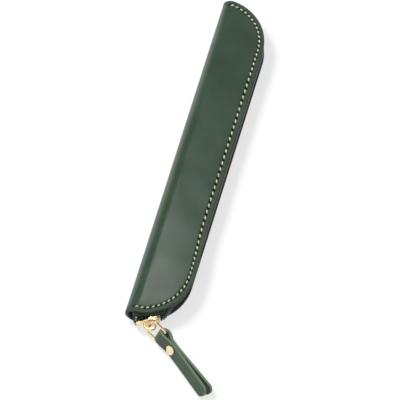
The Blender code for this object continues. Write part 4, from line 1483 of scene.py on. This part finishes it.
def camera():
    """The camera, far off with a long lens, aimed so that the pouch lies as in the photograph."""
    right = heading(VIEW_AZIMUTH)
    back = right.cross(UP) * math.cos(VIEW_ELEVATION) + UP * math.sin(VIEW_ELEVATION)
    up = back.cross(right)
    data = bpy.data.cameras.new("camera")
    data.lens = data.sensor_width * CAMERA_DISTANCE * PIXELS_PER_METRE / IMAGE_PIXELS
    obj = bpy.data.objects.new("camera", data)
    obj.location = right * AIM_RIGHT + up * AIM_UP + back * CAMERA_DISTANCE
    obj.rotation_euler = Matrix((right, up, back)).transposed().to_euler()
    bpy.context.collection.objects.link(obj)
    bpy.context.scene.camera = obj


def hand_over(piece, body, slot, *nodes):
    """Makes a finished piece move with its body and stand for its nodes."""
    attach(piece, body)
    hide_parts(*nodes)


def dress():
    cover_face = cover_leather()
    strap_face = strap_leather()
    cover_cut = cut_edge_leather("cover_cut_edge", COVER_CUT_DEEP, COVER_CUT_PALE)
    strap_cut = cut_edge_leather("strap_cut_edge", STRAP_CUT_DEEP, STRAP_CUT_PALE)
    flesh_face = flesh_leather()
    cloth = tape_cloth()
    nylon = coil_nylon()
    thread = seam_thread()
    bright_gold = gold("polished_gold", *BRIGHT_GOLD)
    cast_gold = gold("cast_gold", *CAST_GOLD)

    cover = leather_cover(cover_face, flesh_face, cover_cut)
    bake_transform(cover)
    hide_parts("leather_back", "leather_front")

    bobbin_depth = LEATHER + CLEARANCE + TAPE
    for side, suffix, depth in ((1, "front", GROOVE_DEPTH), (-1, "back", BACK_THREAD_DEPTH)):
        body = suffix + "_panel"
        seam = stitches("seam_stitches_" + suffix, side, depth, 1, thread)
        hand_over(seam, body, "cream_thread", "seam_thread_" + suffix)
        bobbin = stitches("bobbin_stitches_" + suffix, side, bobbin_depth, -1, thread)
        hand_over(bobbin, body, "cream_thread", "bobbin_thread_" + suffix)
        tape = zip_tape("woven_tape_" + suffix, side, cloth)
        hand_over(tape, body, "green_tape", "zip_tape_" + suffix)
        coil = zip_coil("wound_coil_" + suffix, side, nylon, cloth)
        hand_over(coil, body, "green_nylon", "zip_coil_" + suffix)

    hand_over(slider(cast_gold), "slider", "gold_metal", "slider_body")
    hand_over(wire_bail(bright_gold), "bail", "gold_metal", "pull_bail")
    hand_over(leather_strap(strap_face, flesh_face, strap_cut), "strap", "green_leather", "pull_strap")
    face = STRAP_LEATHER + CLEARANCE / 2
    cap = rivet_half("domed_rivet_cap", face, RIVET_STEM, CLEARANCE - face, 1, bright_gold)
    hand_over(cap, "strap", "gold_metal", "rivet_cap")
    base = rivet_half("domed_rivet_base", face, RIVET_COLLAR, 2 * CLEARANCE - face, -1, bright_gold)
    hand_over(base, "strap", "gold_metal", "rivet_base")
    for name in ("top_stop_front", "top_stop_back", "bottom_stop"):
        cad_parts[name].material_slots[0].material = nylon


bpy.context.scene.view_settings.view_transform = "Standard"
dress()
stage()
lamps()
sky()
camera()
